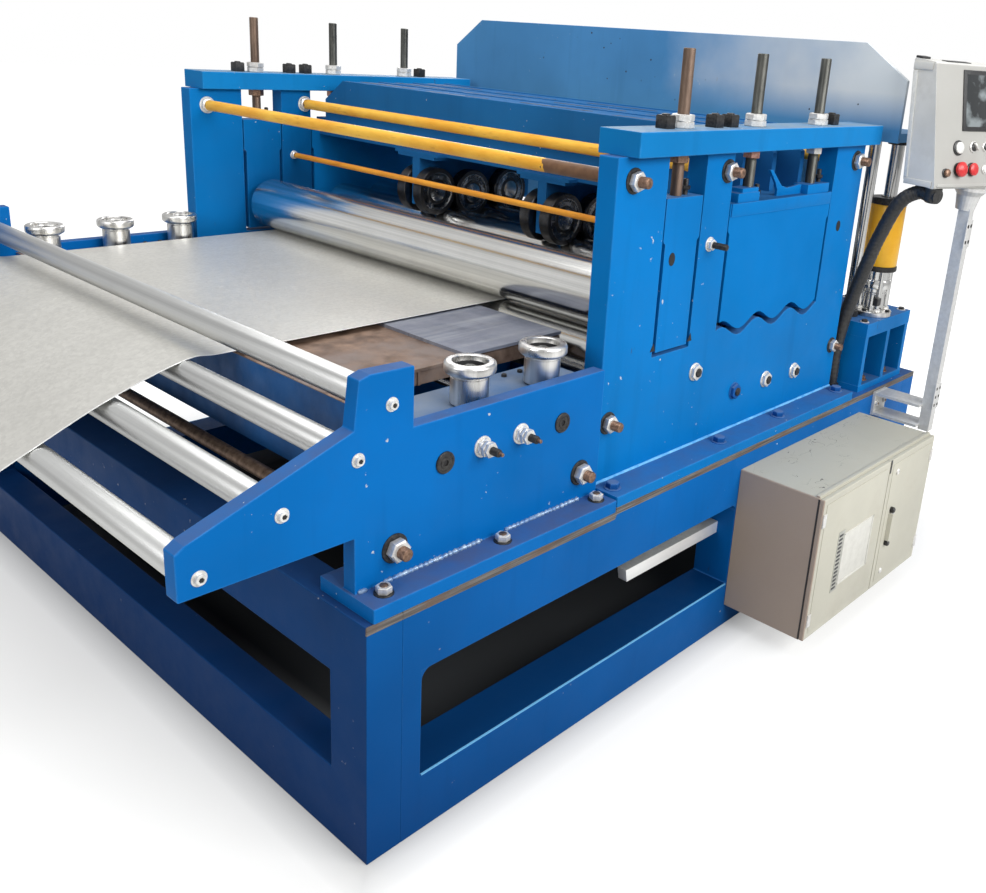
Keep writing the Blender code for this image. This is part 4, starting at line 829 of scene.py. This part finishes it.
def roll_profile(radius):
    face = JOURNAL - 0.05
    return [(0, radius), (face - 0.030, radius), (face - 0.004, radius), (face, radius - 0.004),
            (face, radius * 0.78), (face - 0.004, radius * 0.74), (face - 0.004, radius * 0.62),
            (face + 0.004, 0.056), (face + 0.012, 0.052), (face + 0.016, 0.050), (JOURNAL, 0.050)]


bar("upper_pinch_roll", PINCH_X, 1.3755, roll_profile(0.12), "chrome", sides=128)
bar("lower_pinch_roll", PINCH_X, 1.1235, roll_profile(0.12), "chrome", sides=128)
for level, places, z in (("upper", UPPER_ROLLS_X, UPPER_ROLLS_Z), ("lower", LOWER_ROLLS_X, LOWER_ROLLS_Z)):
    for i, x in enumerate(places, 1):
        bar(f"{level}_work_roll_{i}", x, z, roll_profile(0.10), "chrome", sides=112)

# Backup rollers: two bearing wheels on a pin
BACKUP_REACH = 0.211    # from a backup roller's axis to the axes of the rolls it presses on
WHEEL = [(0.030, 0.047), (0.0315, 0.049), (0.034, 0.0505), (0.034, 0.078), (0.0305, 0.080),
         (0.030, 0.106), (0.033, 0.110), (0.082, 0.110), (0.085, 0.107), (0.085, 0.090), (0.080, 0.087),
         (0.080, 0.060), (0.083, 0.057), (0.083, 0.044)]
PIN = [(0, 0.022), (0.0294, 0.022), (0.0294, 0.045), (0.084, 0.045), (0.0848, 0.043)]
backup_places = [(x, y) for x in (1.755, *LOWER_ROLLS_X) for y in (-0.41, 0.41)]
for i, (x, y) in enumerate(backup_places, 1):
    aside = min(abs(x - roll) for roll in UPPER_ROLLS_X)
    z = UPPER_ROLLS_Z + math.sqrt(BACKUP_REACH ** 2 - aside ** 2)
    name = f"backup_roller_{i}"
    wheels = [spin(WHEEL, 64, aim(at(x, y, z), (0, s, 0))) for s in (-1, 1)]
    piece(name + "_wheels", wheels, "wheel", name, [name])
    kit = Kit(name, name)
    kit.turned("rim", aim(at(x, y, z), (0, 1, 0)), 40, mirrored(PIN))
    for s in (-1, 1):
        face = aim(at(x, y + s * 0.083, z), (0, s, 0))
        kit.turned("rim", face, 48, [(-0.004, 0.0895), (0.0012, 0.0890), (0.0012, 0.0865), (-0.003, 0.0860)])
        kit.add("black_bolt", nut(0.020, 0.0015, face @ raised(0.0002)))

RODS = {"tie_rod_front": (1.12, 1.855, 0.024, "front_yellow"),
        "tie_rod_middle": (1.655, 1.862, 0.024, "yellow"),
        "tie_rod_thin": (1.585, 1.607, 0.013, "orange"),
        "tie_rod_rear": (2.640, 1.862, 0.024, "yellow")}
for name, (x, z, radius, look) in RODS.items():
    big = radius > 0.02
    bar(name, x, z, [(0, radius), (JOURNAL, radius)], look, FIXED, 40)
    for kit, side, out in each_side("leveller"):
        inwards = (0, -side, 0)
        kit.add("white" if big else "nut", washer(radius * 1.62, 0.005, aim(at(x, side * JOURNAL, z), inwards)))
        kit.add("nut", nut(radius * 1.45, 0.016 if big else 0.012,
                           aim(at(x, side * (JOURNAL - 0.005), z), inwards)))
        face = at(x, side * HOUSING_FACE, z)
        if big:
            kit.fixing(face, out, 0.033, 0.024, 0.034, turn=0.25, plate_look="black_bolt")
        else:
            kit.fixing(face, out, 0.021, 0.016, 0.058, "nut", "black_bolt", turn=0.5)

OVAL = [(0.017 * math.cos(2 * math.pi * k / 28), 0.023 * math.sin(2 * math.pi * k / 28)) for k in range(28)]
# outline of the hook between the seats of the bank's screws, in X and in height above the chock
HOOK = [(2.255, 0.036), (2.235, 0.038), (2.19, 0.032), (2.14, 0.030), (2.10, 0.040), (2.075, 0.060),
        (2.02, 0.105), (2.00, 0.105), (2.05, 0.055), (2.07, 0.024), (2.07, 0.0), (2.255, 0.0)]
for side_name, side in SIDES:
    out = (0, side, 0)
    face = side * HOUSING_FACE
    kit = Kit(f"leveller_{side_name}")
    kit.fixing(at(1.083, face, 1.046), out, 0.031, 0.022, 0.034, turn=0.2, plate_look="black_bolt")
    kit.fixing(at(2.665, face, 1.036), out, 0.028, 0.022, 0.030, turn=0.45, plate_look="black_bolt")
    for x, z, look in ((1.577, 1.129, "nut"), (1.871, 0.990, "blue_bolt"), (2.106, 0.990, "nut"),
                       (2.341, 0.980, "nut")):
        kit.fixing(at(x, face, z), out, 0.031, 0.014, 0.006, look, "black_bolt", 1.12, 0.4)
    # painted shade: dark ovals stand for holes in the housings' faces
    for x, z, body in ((1.363, 1.577, "pinch_chocks"), (2.560, 1.589, FIXED)):
        Kit(f"holes_{side_name}_{body}", body).add("dark", prism(OVAL, 0.0012, aim(at(x, face, z), out)))
    # packing plates under the grooves
    for x in (1.300, 1.520):
        outline = [(x - 0.014, 1.258), (x + 0.014, 1.258), (x + 0.004, 1.288)]
        Kit(f"holes_{side_name}_{FIXED}").add("dark", upright(outline, face + (side > 0) * 0.001, 0.0010))
    # painted highlight: light blue fillet along the leveller foot
    line = [at(1.037 + 1.671 * i / 40, side * (HOUSING_FACE + 0.0005), LEVEL_FOOT_TOP + 0.0005)
            for i in range(41)]
    kit.add("fillet", sweep(line, 0.0062, 10, lambda i: 1.0 + 0.10 * math.sin(i * 1.7)))
    for x in (1.065, 1.71, 2.15, 2.66):
        kit.fixing(at(x, side * 1.40, LEVEL_FOOT_TOP), UP, 0.024, 0.020, 0.0, "blue_bolt", turn=0.35)
    # thin plate along the top of the roll bank's chock, seats of its screws and the hook between them
    bank = Kit(f"bank_{side_name}", "upper_bank")
    bank.box("housing", at(1.702, face, 1.694), at(2.448, face + side * 0.005, 1.7415), 0.002)
    for x0, x1, top, inset in ((1.745, 1.890, 0.034, 0), (1.775, 1.885, 0.050, 0.004),
                               (2.255, 2.430, 0.038, 0)):
        bank.box("housing", at(x0, side * (1.270 + inset), BANK_CHOCK_TOP - 0.002),
                 at(x1, side * (1.338 - inset), BANK_CHOCK_TOP + top), 0.003)
    bank.add("housing", upright([(x, BANK_CHOCK_TOP - 0.001 + z) for x, z in HOOK],
                                side * SCREW_LINE + 0.006, 0.012, 0.0015))


def adjusting_screw(side_name, side, x, body, chock_top, look, under_look, under_radius):
    """A screw that stands on a chock, and its nuts, which stay on the cap bar and under it."""
    foot = Matrix.Translation(at(x, side * SCREW_LINE, 0))
    screw, caps = Kit(f"screw_{side_name}_{body}", body), Kit(f"caps_{side_name}_fixed")
    for low, high in ((chock_top, CAP_LOW - 0.040), (CAP_TOP + 0.046, 2.2640)):
        screw.add(look, threaded(0.0206, high, foot, 0.0034, 32, 0.0005, low))
    caps.add(under_look, bored_nut(under_radius, 0.032, foot @ raised(CAP_LOW - 0.0325), 0.55))
    for start, turn in ((SEAM, 0.2), (0.0230, 0.32)):
        caps.add("nut", bored_nut(0.0400, 0.0225, foot @ raised(CAP_TOP + start), turn))


for side_name, side in SIDES:
    for screw in ((PINCH_SCREW_X, "pinch_chocks", PINCH_CHOCK_TOP, "screw", "brown", 0.036),
                  (BANK_SCREWS_X[0], "upper_bank", BANK_CHOCK_TOP + 0.048, "dark_screw", "copper", 0.034),
                  (BANK_SCREWS_X[1], "upper_bank", BANK_CHOCK_TOP + 0.036, "dark_screw", "nut", 0.034)):
        adjusting_screw(side_name, side, *screw)
    # square bolts on the cap bar
    for x in (1.310, 1.595, 1.690, 2.440):
        square = Matrix.Translation(at(x, side * SCREW_LINE, CAP_TOP))
        kit = Kit(f"caps_{side_name}_fixed")
        kit.turned("black_bolt", square, 4, [(0, 0.0315), (0.002, 0.0325), (0.039, 0.0325), (0.043, 0.0290)],
                   math.pi / 4)
        kit.turned("black_bolt", square, 24, [(0.042, 0.014), (0.046, 0.014), (0.0475, 0.012)])
    # guide studs beside the screws
    for x, top, body in ((1.458, PINCH_CHOCK_TOP, "pinch_chocks"), (1.925, BANK_CHOCK_TOP, "upper_bank"),
                         (2.400, BANK_CHOCK_TOP + 0.036, "upper_bank")):
        kit, place = Kit(f"studs_{side_name}", body), Matrix.Translation(at(x, side * SCREW_LINE, top))
        kit.add("black_bolt", threaded(0.010, 0.056, place @ raised(-0.001), 0.003, 16, 0.001))
        kit.add("black_bolt", nut(0.0175, 0.014, place @ raised(0.018)))


def stadium(x, y, width, length, count=8):
    """Outline of a long slot with round ends, along Y."""
    r = width / 2
    return [(START + x + r * math.cos(start + math.pi * k / count),
             middle + r * math.sin(start + math.pi * k / count))
            for middle, start in ((y + length / 2 - r, 0.0), (y - length / 2 + r, math.pi))
            for k in range(count + 1)]


# Slots in the deck of the roll bank, in three bays, as thin dark plates of painted shade
BAY = (0.70 - 0.03) / 3
for bay in range(3):
    for k, y in enumerate((-0.86, -0.29, 0.29, 0.86)):
        x = 1.77 + bay * BAY + 0.052 + 0.050 * (k % 2)
        Kit("bank_top", "upper_bank").add("slot", prism(stadium(x, y, 0.040, 0.42), 0.0008, raised(1.9880)))

# Shear

COLUMN_X, COLUMN_LINE = 2.92, 1.285
CYLINDER_X, CYLINDER_LINE, CYLINDER_R = 3.05, 1.335, 0.080
BARREL_LOW, BARREL_TOP = 0.235, 0.555       # above the pedestal
r, low, top = CYLINDER_R, BARREL_LOW, BARREL_TOP
BARREL = [(low + 0.004, 0.034), (low + 0.004, r - 0.003), (low + 0.008, r), (top - 0.034, r),
          (top - 0.031, r - 0.002), (top - 0.031, 0.034), (low + 0.004, 0.034)]
BARREL_CAP = [(top - 0.0305, 0.0320), (top - 0.0305, r * 1.02), (top - 0.028, r * 1.04),
              (top - 0.004, r * 1.04), (top, r * 0.99), (top, 0.042), (top - 0.006, 0.040),
              (top - 0.006, 0.0320), (top - 0.0305, 0.0320)]
BARREL_FOOT = [(low - 0.020, 0.050), (low - 0.020, r * 1.01), (low - 0.017, r * 1.04), (low + 0.001, r * 1.04),
               (low + 0.0035, r * 1.01), (low + 0.0035, 0.05)]
GLAND = [(0.022, 0.052), (0.100, 0.050), (0.104, 0.056), (0.108, 0.056), (0.112, 0.052), (0.128, 0.052),
         (0.130, 0.066), (0.134, 0.068), (0.166, 0.068), (0.170, 0.066), (0.170, 0.056), (0.2145, 0.056)]

for side_name, side in SIDES:
    kit = Kit(f"shear_{side_name}")
    column = Matrix.Translation(at(COLUMN_X, side * COLUMN_LINE, 0))
    kit.turned("rod", column, 48, [(1.125, 0.0264), (2.0585, 0.0264), (2.0615, 0.0235)])
    kit.turned("black_bolt", column, 40, [(1.1252, 0.042), (1.150, 0.042), (1.153, 0.039), (1.153, 0.0268)])
    foot = Matrix.Translation(at(CYLINDER_X, side * CYLINDER_LINE, PEDESTAL_TOP + SEAM))
    piece(f"cylinder_barrel_{side_name}", [spin(BARREL, 72, foot, closed=False)], "cylinder", FIXED,
          [f"shear_cylinder_{side_name}"])
    kit.turned("black_bolt", foot, 64, BARREL_CAP, closed=False)
    kit.turned("black_bolt", foot, 64, BARREL_FOOT)
    kit.turned("rod", foot, 64, GLAND)
    # clamp rods with their nuts, and the flange's bolts between them
    for a in [math.pi / 4 + k * math.pi / 2 for k in range(4)]:
        post = foot @ Matrix.Translation((0.064 * math.cos(a), 0.064 * math.sin(a), 0))
        kit.turned("rod", post, 20, [(0.024, 0.0115), (0.214, 0.0115)])
        kit.add("nut", nut(0.0185, 0.013, post @ raised(0.024)))
        bolt = foot @ Matrix.Translation((0.079 * math.cos(a + 0.785), 0.079 * math.sin(a + 0.785), 0))
        kit.turned("black_bolt", bolt, 20, [(0.0235, 0.010), (0.032, 0.010), (0.033, 0.009)])
    kit.turned("guide", foot, 56, [(0, 0.090), (0.002, 0.092), (0.020, 0.092), (0.0235, 0.0885)])
    kit.box("black", (-0.020, -0.012, -0.018), (0.020, 0.012, 0.018), 0.003,
            foot @ Matrix.Translation((-0.088 * 0.72, side * 0.088 * 0.55, 0.075)))
    piston = Matrix.Translation(at(CYLINDER_X, side * CYLINDER_LINE, 0))
    moving = Kit(f"pistons_{side_name}", "shear_beam")
    moving.turned("rod", piston, 48, [(1.665, 0.0303), (1.9375, 0.0303)], closed=False)
    moving.turned("black_bolt", piston, 40, [(1.918, 0.046), (1.920, 0.048), (1.9378, 0.048)])
    for x in (2.862, 3.258):
        for y in (1.105, 1.395):
            kit.bolt(at(x, side * y, PEDESTAL_TOP), UP, 0.014, 0.012, "black_bolt")
    for x in (2.95, 3.17):
        kit.fixing(at(x, side * 1.385, 0.8243), UP, 0.020, 0.016, 0.006, "brown", "screw")

blade = Kit("upper_blade", "shear_beam")
blade.box("blade", at(3.0448, -1.0204, 1.3352), at(3.0754, 1.0204, 1.4258), 0.001)
Kit("lower_blade").box("blade", at(3.0766, -1.0600, 1.1532), at(3.1154, 1.0600, 1.2438), 0.001)
for y in [-0.9 + 0.3 * k for k in range(7)]:
    blade.turned("black_bolt", aim(at(3.0753, y, 1.38), (1, 0, 0)), 20,
                 [(0, 0.013), (0.006, 0.013), (0.007, 0.012), (0.007, 0.007), (0.003, 0.006)])

# Base: rounded upper corners of the windows, and the cable duct inside the near one
CORNER = 0.034
BEAM_DEPTH = 0.165
for kit, side, out in each_side("window_corners"):
    high_y = max(side * BASE_HALF, side * (BASE_HALF - BEAM_DEPTH))
    for window in WINDOWS:
        for x, toward in zip(window, (1, -1)):
            curve = [(x, LINTEL)]
            curve += [(x + toward * CORNER * (1 - math.sin(a)), LINTEL - CORNER * (1 - math.cos(a)))
                      for a in [math.pi / 2 * k / 8 for k in range(9)]]
            kit.add("base", upright(curve, high_y - SEAM, BEAM_DEPTH - 2 * SEAM))
duct = [(1.205, 0.455), (1.216, 0.404), (1.7997, 0.404), (1.7997, 0.455)]
Kit("cable_duct").add("duct", upright(duct, -1.345, 0.040, 0.0015))

# Cabinet

LEFT_X, RIGHT_X = CABINET_X
CAB_LOW, CAB_TOP = CABINET_Z


def on_door(kit, look, x0, z0, x1, z1, back, front, bevel):
    """A box on the doors' faces, from back to front in front of them."""
    kit.box(look, at(x0, DOOR_FACE - back, z0), at(x1, DOOR_FACE - front, z1), bevel)


seal = Kit("cabinet_seal")
for x0, x1 in ((LEFT_X - 0.0008, LEFT_X + 0.0040), (RIGHT_X - 0.0040, RIGHT_X + 0.0008)):
    seal.box("rubber", at(x0, -1.8082, CAB_LOW + 0.004), at(x1, -1.8030, CAB_TOP - 0.004), 0.0004)
seal.box("cabinet", at(LEFT_X + 0.004, -1.8060, CAB_TOP - 0.001),
         at(RIGHT_X - 0.004, -1.7900, CAB_TOP + 0.007), 0.003)
on_door(Kit("door_gap", "right_door"), "black", DOOR_SPLIT + 0.0022, CAB_TOP - 0.060, DOOR_SPLIT + 0.0120,
        CAB_TOP, -0.0005, 0.0010, 0)
INSET = 0.028
for name, x0, x1 in (("left", LEFT_X, DOOR_SPLIT - 0.002), ("right", DOOR_SPLIT + 0.002, RIGHT_X)):
    x0, z0, x1, z1 = x0 + INSET, CAB_LOW + INSET, x1 - INSET, CAB_TOP - INSET
    Kit(f"door_{name}", f"{name}_door").add("cabinet", upright(
        [(x0, z0), (x1, z0), (x1, z1), (x0, z1)], DOOR_FACE + 0.0002, 0.0022, 0.0010))

handle = Kit("door_handle", "right_door")
# painted shadow: a thin black plate behind the handle
on_door(handle, "black", 2.441, 0.296, 2.465, 0.474, -0.0002, 0.0012, 0.0005)
on_door(handle, "post", 2.444, 0.318, 2.462, 0.452, 0.0060, 0.0210, 0.005)
for z in (0.306, 0.464):
    handle.turned("black_bolt", aim(at(2.453, DOOR_FACE, z), (0, -1, 0)), 28,
                  [(0, 0.0125), (0.016, 0.0125), (0.020, 0.009)])
# plate with raised borders, and a strip with short dark lines, on the left door
plate = Kit("door_plate", "left_door")
on_door(plate, "pale", 2.024, 0.268, 2.275, 0.498, 0.0010, 0.0040, 0.0010)
for x0, x1, z0, z1 in ((2.024, 2.275, 0.490, 0.498), (2.024, 2.275, 0.268, 0.276),
                       (2.267, 2.275, 0.268, 0.498)):
    on_door(plate, "pale", x0, z0, x1, z1, 0.0035, 0.0060, 0.0008)
on_door(plate, "plate_label", 1.970, 0.250, 2.022, 0.518, 0.0010, 0.0040, 0.0010)
for z in [0.262 + k * 0.018 for k in range(14)]:
    on_door(plate, "black", 1.976, z, 2.006, z + 0.009, 0.0035, 0.0052, 0.0005)
for x, body in ((1.818, "left_door"), (2.802, "right_door")):
    hinges = Kit(f"hinges_{body}", body)
    for z in (0.19, 0.62):
        on_door(hinges, "nut", x - 0.012, z - 0.028, x + 0.012, z + 0.028, 0, 0.0060, 0.002)
for z in (0.17, 0.64):
    Kit("door_locks", "right_door").turned(
        "nut", aim(at(2.452, DOOR_FACE - 0.002, z), (0, -1, 0)), 28,
        [(0, 0.013), (0.004, 0.013), (0.006, 0.011), (0.006, 0.006), (0.003, 0.005)])

# Control pendant

BOX_HALF, BOX_HIGH = 0.28, 0.502
FRONT_LOW, FRONT_TOP = -0.080, 0.016        # where the sloping front stands, at its bottom and top
BOX = Matrix.Translation(at(3.003, -1.668, 1.780)) @ Matrix.Rotation(math.radians(-16), 4, "Z")
LEAN = math.atan2(FRONT_TOP - FRONT_LOW, BOX_HIGH)
CORNER_LOW = BOX @ Matrix.Translation((0, FRONT_LOW, 0))
# on the sloping front: X across, Y up the face, Z out of it
FACE = CORNER_LOW @ Matrix.Rotation(math.pi / 2 - LEAN, 4, "X")
pendant = Kit("pendant")

pendant.box("black", (-0.108, 0.240, 0.0005), (0.162, 0.488, 0.0055), 0.002, FACE)
pendant.box("glass", (-0.090, 0.258, 0.0050), (0.144, 0.470, 0.0062), 0.0004, FACE)
pendant.box("pendant", (-0.262, 0.010, 0.0003), (0.262, 0.022, 0.0043), 0.001, FACE)


def button(u, v, radius, height, look, ring="black", ring_size=1.35, dome=0.25):
    """A push button in its ring, on the pendant's front."""
    place, r, rim = FACE @ Matrix.Translation((u, v, 0)), radius, radius * ring_size
    pendant.turned(ring, place, 36, [(0, rim), (0.005, rim), (0.0065, rim - 0.002)])
    pendant.turned(look, place, 40, [(0.004, r * 0.72), (height * 0.45, r * 0.72), (height * 0.5, r),
                                     (height * 0.85, r), (height, r * 0.82),
                                     (height + r * dome * 0.4, r * 0.4)])


button(-0.132, 0.171, 0.024, 0.016, "white", ring_size=1.30)
button(-0.032, 0.176, 0.019, 0.012, "black", "nut", 1.25)
pendant.box("nut", (-0.0045, -0.018, 0.012), (0.0045, 0.018, 0.024), 0.002,
            FACE @ Matrix.Translation((-0.032, 0.176, 0)) @ Matrix.Rotation(0.7, 4, "Z"))
button(-0.128, 0.082, 0.031, 0.030, "red", ring_size=0.95, dome=0.5)
button(-0.041, 0.082, 0.026, 0.022, "red", ring_size=1.10)
button(-0.212, 0.068, 0.016, 0.020, "brown", ring_size=1.2)
for u in (0.048, 0.120, 0.192):
    for v, look in ((0.176, "black"), (0.082, "white")):
        button(u, v, 0.015, 0.012, look, "nut", 1.3)

# flange bands and edge strips on the box's sides: X up, Y into the depth, Z towards -X
for s in (-1, 1):
    wall = BOX @ Matrix.Translation((s * BOX_HALF, 0, 0)) @ Matrix.Rotation(-math.pi / 2, 4, "Y")
    inner, outer = (-0.005, 0.0005) if s > 0 else (-0.0005, 0.005)
    for low, high in ((0.470, 0.500), (0.006, 0.030)):
        shift = (FRONT_TOP - FRONT_LOW) * (low + high) / 2 / BOX_HIGH
        pendant.box("pendant", (low, -0.066 + shift, inner), (high, 0.078 + shift * 0.5, outer), 0.0015, wall)
    rear = [(0.034, 0.066), (0.466, 0.102), (0.466, 0.124), (0.034, 0.080)]
    pendant.add("white", prism(rear, 0.0040, wall @ raised(inner if s > 0 else 0.0), 0.0010))
# dark slot and hinge pieces on top
lid = BOX @ Matrix.Translation((0, FRONT_TOP, BOX_HIGH)) @ Matrix.Rotation(math.atan2(0.014, 0.114), 4, "X")
pendant.box("black", (-0.175, 0.030, -0.001), (-0.020, 0.062, 0.003), 0.001, lid)
pendant.box("black", (-0.279, 0.078, -0.001), (-0.225, 0.110, 0.009), 0.002, lid)

# plates on the post, with round holes above and square ones below, drawn as dark discs and squares of painted
# shade
post = Kit("post_fittings")
for low, high, rows, sides in ((1.520, 1.640, (1.545, 1.615), 20), (0.765, 0.885, (0.785, 0.825, 0.865), 4)):
    post.box("post", at(POST_X - 0.033, -1.7385, low), at(POST_X + 0.033, -1.7345, high), 0.0015)
    for z in rows:
        for x in (POST_X - 0.016, POST_X + 0.016):
            post.turned("dark", aim(at(x, -1.7385, z), (0, -1, 0)), sides, [(0, 0.0085), (0.0008, 0.0085)],
                        math.pi / 4)
for x in (POST_X - 0.040, POST_X + 0.040):
    post.fixing(at(x, -1.4725, 0.725), (0, -1, 0), 0.012, 0.009, 0.004)

# Conduit from the pendant to the bed

UNDER = CORNER_LOW @ Matrix.Rotation(math.atan2(0.017, 0.166), 4, "X")
CONDUIT_U, HANG = 0.045 - BOX_HALF, -0.0313
knots = [UNDER @ Vector((CONDUIT_U, depth, HANG - sag)) for depth, sag in ((0.005, 0.0), (0.06, 0.001),
                                                                          (0.11, 0.008))]
knots += [at(CONDUIT_X, y, z) for y, z in ((-1.503, 1.697), (-1.438, 1.538), (-1.404, 1.420), (-1.370, 1.290),
                                           (-1.335, 1.140), (CONDUIT_Y, 0.98), (CONDUIT_Y, 0.854))]
entry = at(CONDUIT_X, CONDUIT_Y, BED_STEP + SEAM)
hose = sweep(smooth_route(knots, 22) + [entry], CONDUIT_R, 28, lambda i: 1.0 if i % 4 < 2 else 0.972)
piece("conduit", [hose], "rubber", FIXED, ["pendant_conduit"], angle=60)
ends = Kit("conduit_ends")
ends.turned("rubber", UNDER @ Matrix.Translation((CONDUIT_U, 0.034, HANG)), 32,
            [(-0.0335, 0.012), (-0.0325, 0.024), (-0.026, 0.0325), (-0.012, 0.0345), (0.0300, 0.0345)])
ends.turned("black_bolt", Matrix.Translation(entry), 6,
            [(0, 0.044), (0.010, 0.044), (0.012, 0.040), (0.034, 0.038), (0.036, 0.034)])

for (group, body, look), parts in Kit.heaps.items():
    piece(f"{group}_{look}", parts, look, body)

# Camera, floor and light

scene = bpy.context.scene
scene.view_settings.view_transform = "Standard"

camera = bpy.data.objects.new("camera", bpy.data.cameras.new("camera"))
camera.data.sensor_width = 36.0
camera.data.lens = 36.135
camera.data.shift_x = -0.0943
camera.data.shift_y = -0.073
camera.data.clip_end = 100.0
right = Vector((0.6578127, -0.7499990, 0.0691663))
up = Vector((0.1948115, 0.2581325, 0.9462643))
back = Vector((-0.7275513, -0.6089903, 0.3159112))
camera.matrix_world = Matrix.Translation((-1.42368, -3.27902, 2.25200)) @ \
    Matrix((right, up, back)).transposed().to_4x4()
scene.collection.objects.link(camera)
scene.camera = camera

mesh = bpy.data.meshes.new("floor")
mesh.from_pydata([(-40, -40, 0), (40, -40, 0), (40, 40, 0), (-40, 40, 0)], [], [(0, 1, 2, 3)])
mesh.materials.append(bpy.data.materials.new("pale_floor"))
floor = bpy.data.objects.new("floor", mesh)
scene.collection.objects.link(floor)

# the floor is white for the camera away from the machine; under the machine its colour is darkened to near
# black, a painted shadow
ground = Nodes(mesh.materials[0])
SHADE_MIDDLE, SHADE_HALF = 1.58, 1.64       # along X
from_middle = ground.size(ground.calc("SUBTRACT", ground.axis("X"), SHADE_MIDDLE))
past_end = ground.calc("SUBTRACT", from_middle, SHADE_HALF)
outside = ground.calc("MAXIMUM", past_end, ground.calc("SUBTRACT", ground.aside(), BASE_HALF))
white = ground.calc("ADD", ground.span(outside, -0.10, 0.12, 0.0, 0.50),
                    ground.span(outside, 0.1, 1.2, 0.0, 0.40))
shade = ground.mix(ground.span(outside, -0.35, 0.05), (0.030, 0.032, 0.034), (0.46, 0.46, 0.45))
lit = ground.add("BsdfDiffuse", {"Color": shade}).outputs[0]
glow = ground.add("Emission", {"Strength": ground.both(ground.seen_white(1.0, 0.40), white)}).outputs[0]
ground.add("OutputMaterial", {"Surface": ground.add("AddShader", {0: lit, 1: glow}).outputs[0]})

SOFT = 0.30     # light that the sky gives
scene.world = bpy.data.worlds.new("studio")
studio = Nodes(scene.world)
strength = studio.calc("ADD", studio.seen_white(1.0 - SOFT, 0.30), SOFT)
sky = studio.add("Background", {"Color": (1, 1, 1), "Strength": strength}).outputs[0]
studio.add("OutputWorld", {"Surface": sky})


def lamp(name, place, target, size, power):
    light = bpy.data.lights.new(name, "AREA")
    light.shape = "RECTANGLE"
    light.size, light.size_y = size
    light.energy = power
    made = bpy.data.objects.new(name, light)
    scene.collection.objects.link(made)
    direction = Vector(target) - Vector(place)
    made.matrix_world = Matrix.Translation(place) @ direction.to_track_quat("-Z", "Y").to_matrix().to_4x4()


lamp("key", (1.6, -7.0, 4.6), (1.4, 0, 1.0), (6.0, 3.0), 500)
lamp("top", (1.6, 0.0, 6.4), (1.6, 0, 1.0), (5.0, 5.0), 220)
lamp("left", (-6.0, -1.0, 4.5), (2.4, 0, 1.6), (4.0, 3.0), 200)
lamp("back", (6.5, 4.5, 4.0), (1.6, 0, 1.2), (4.0, 3.0), 150)
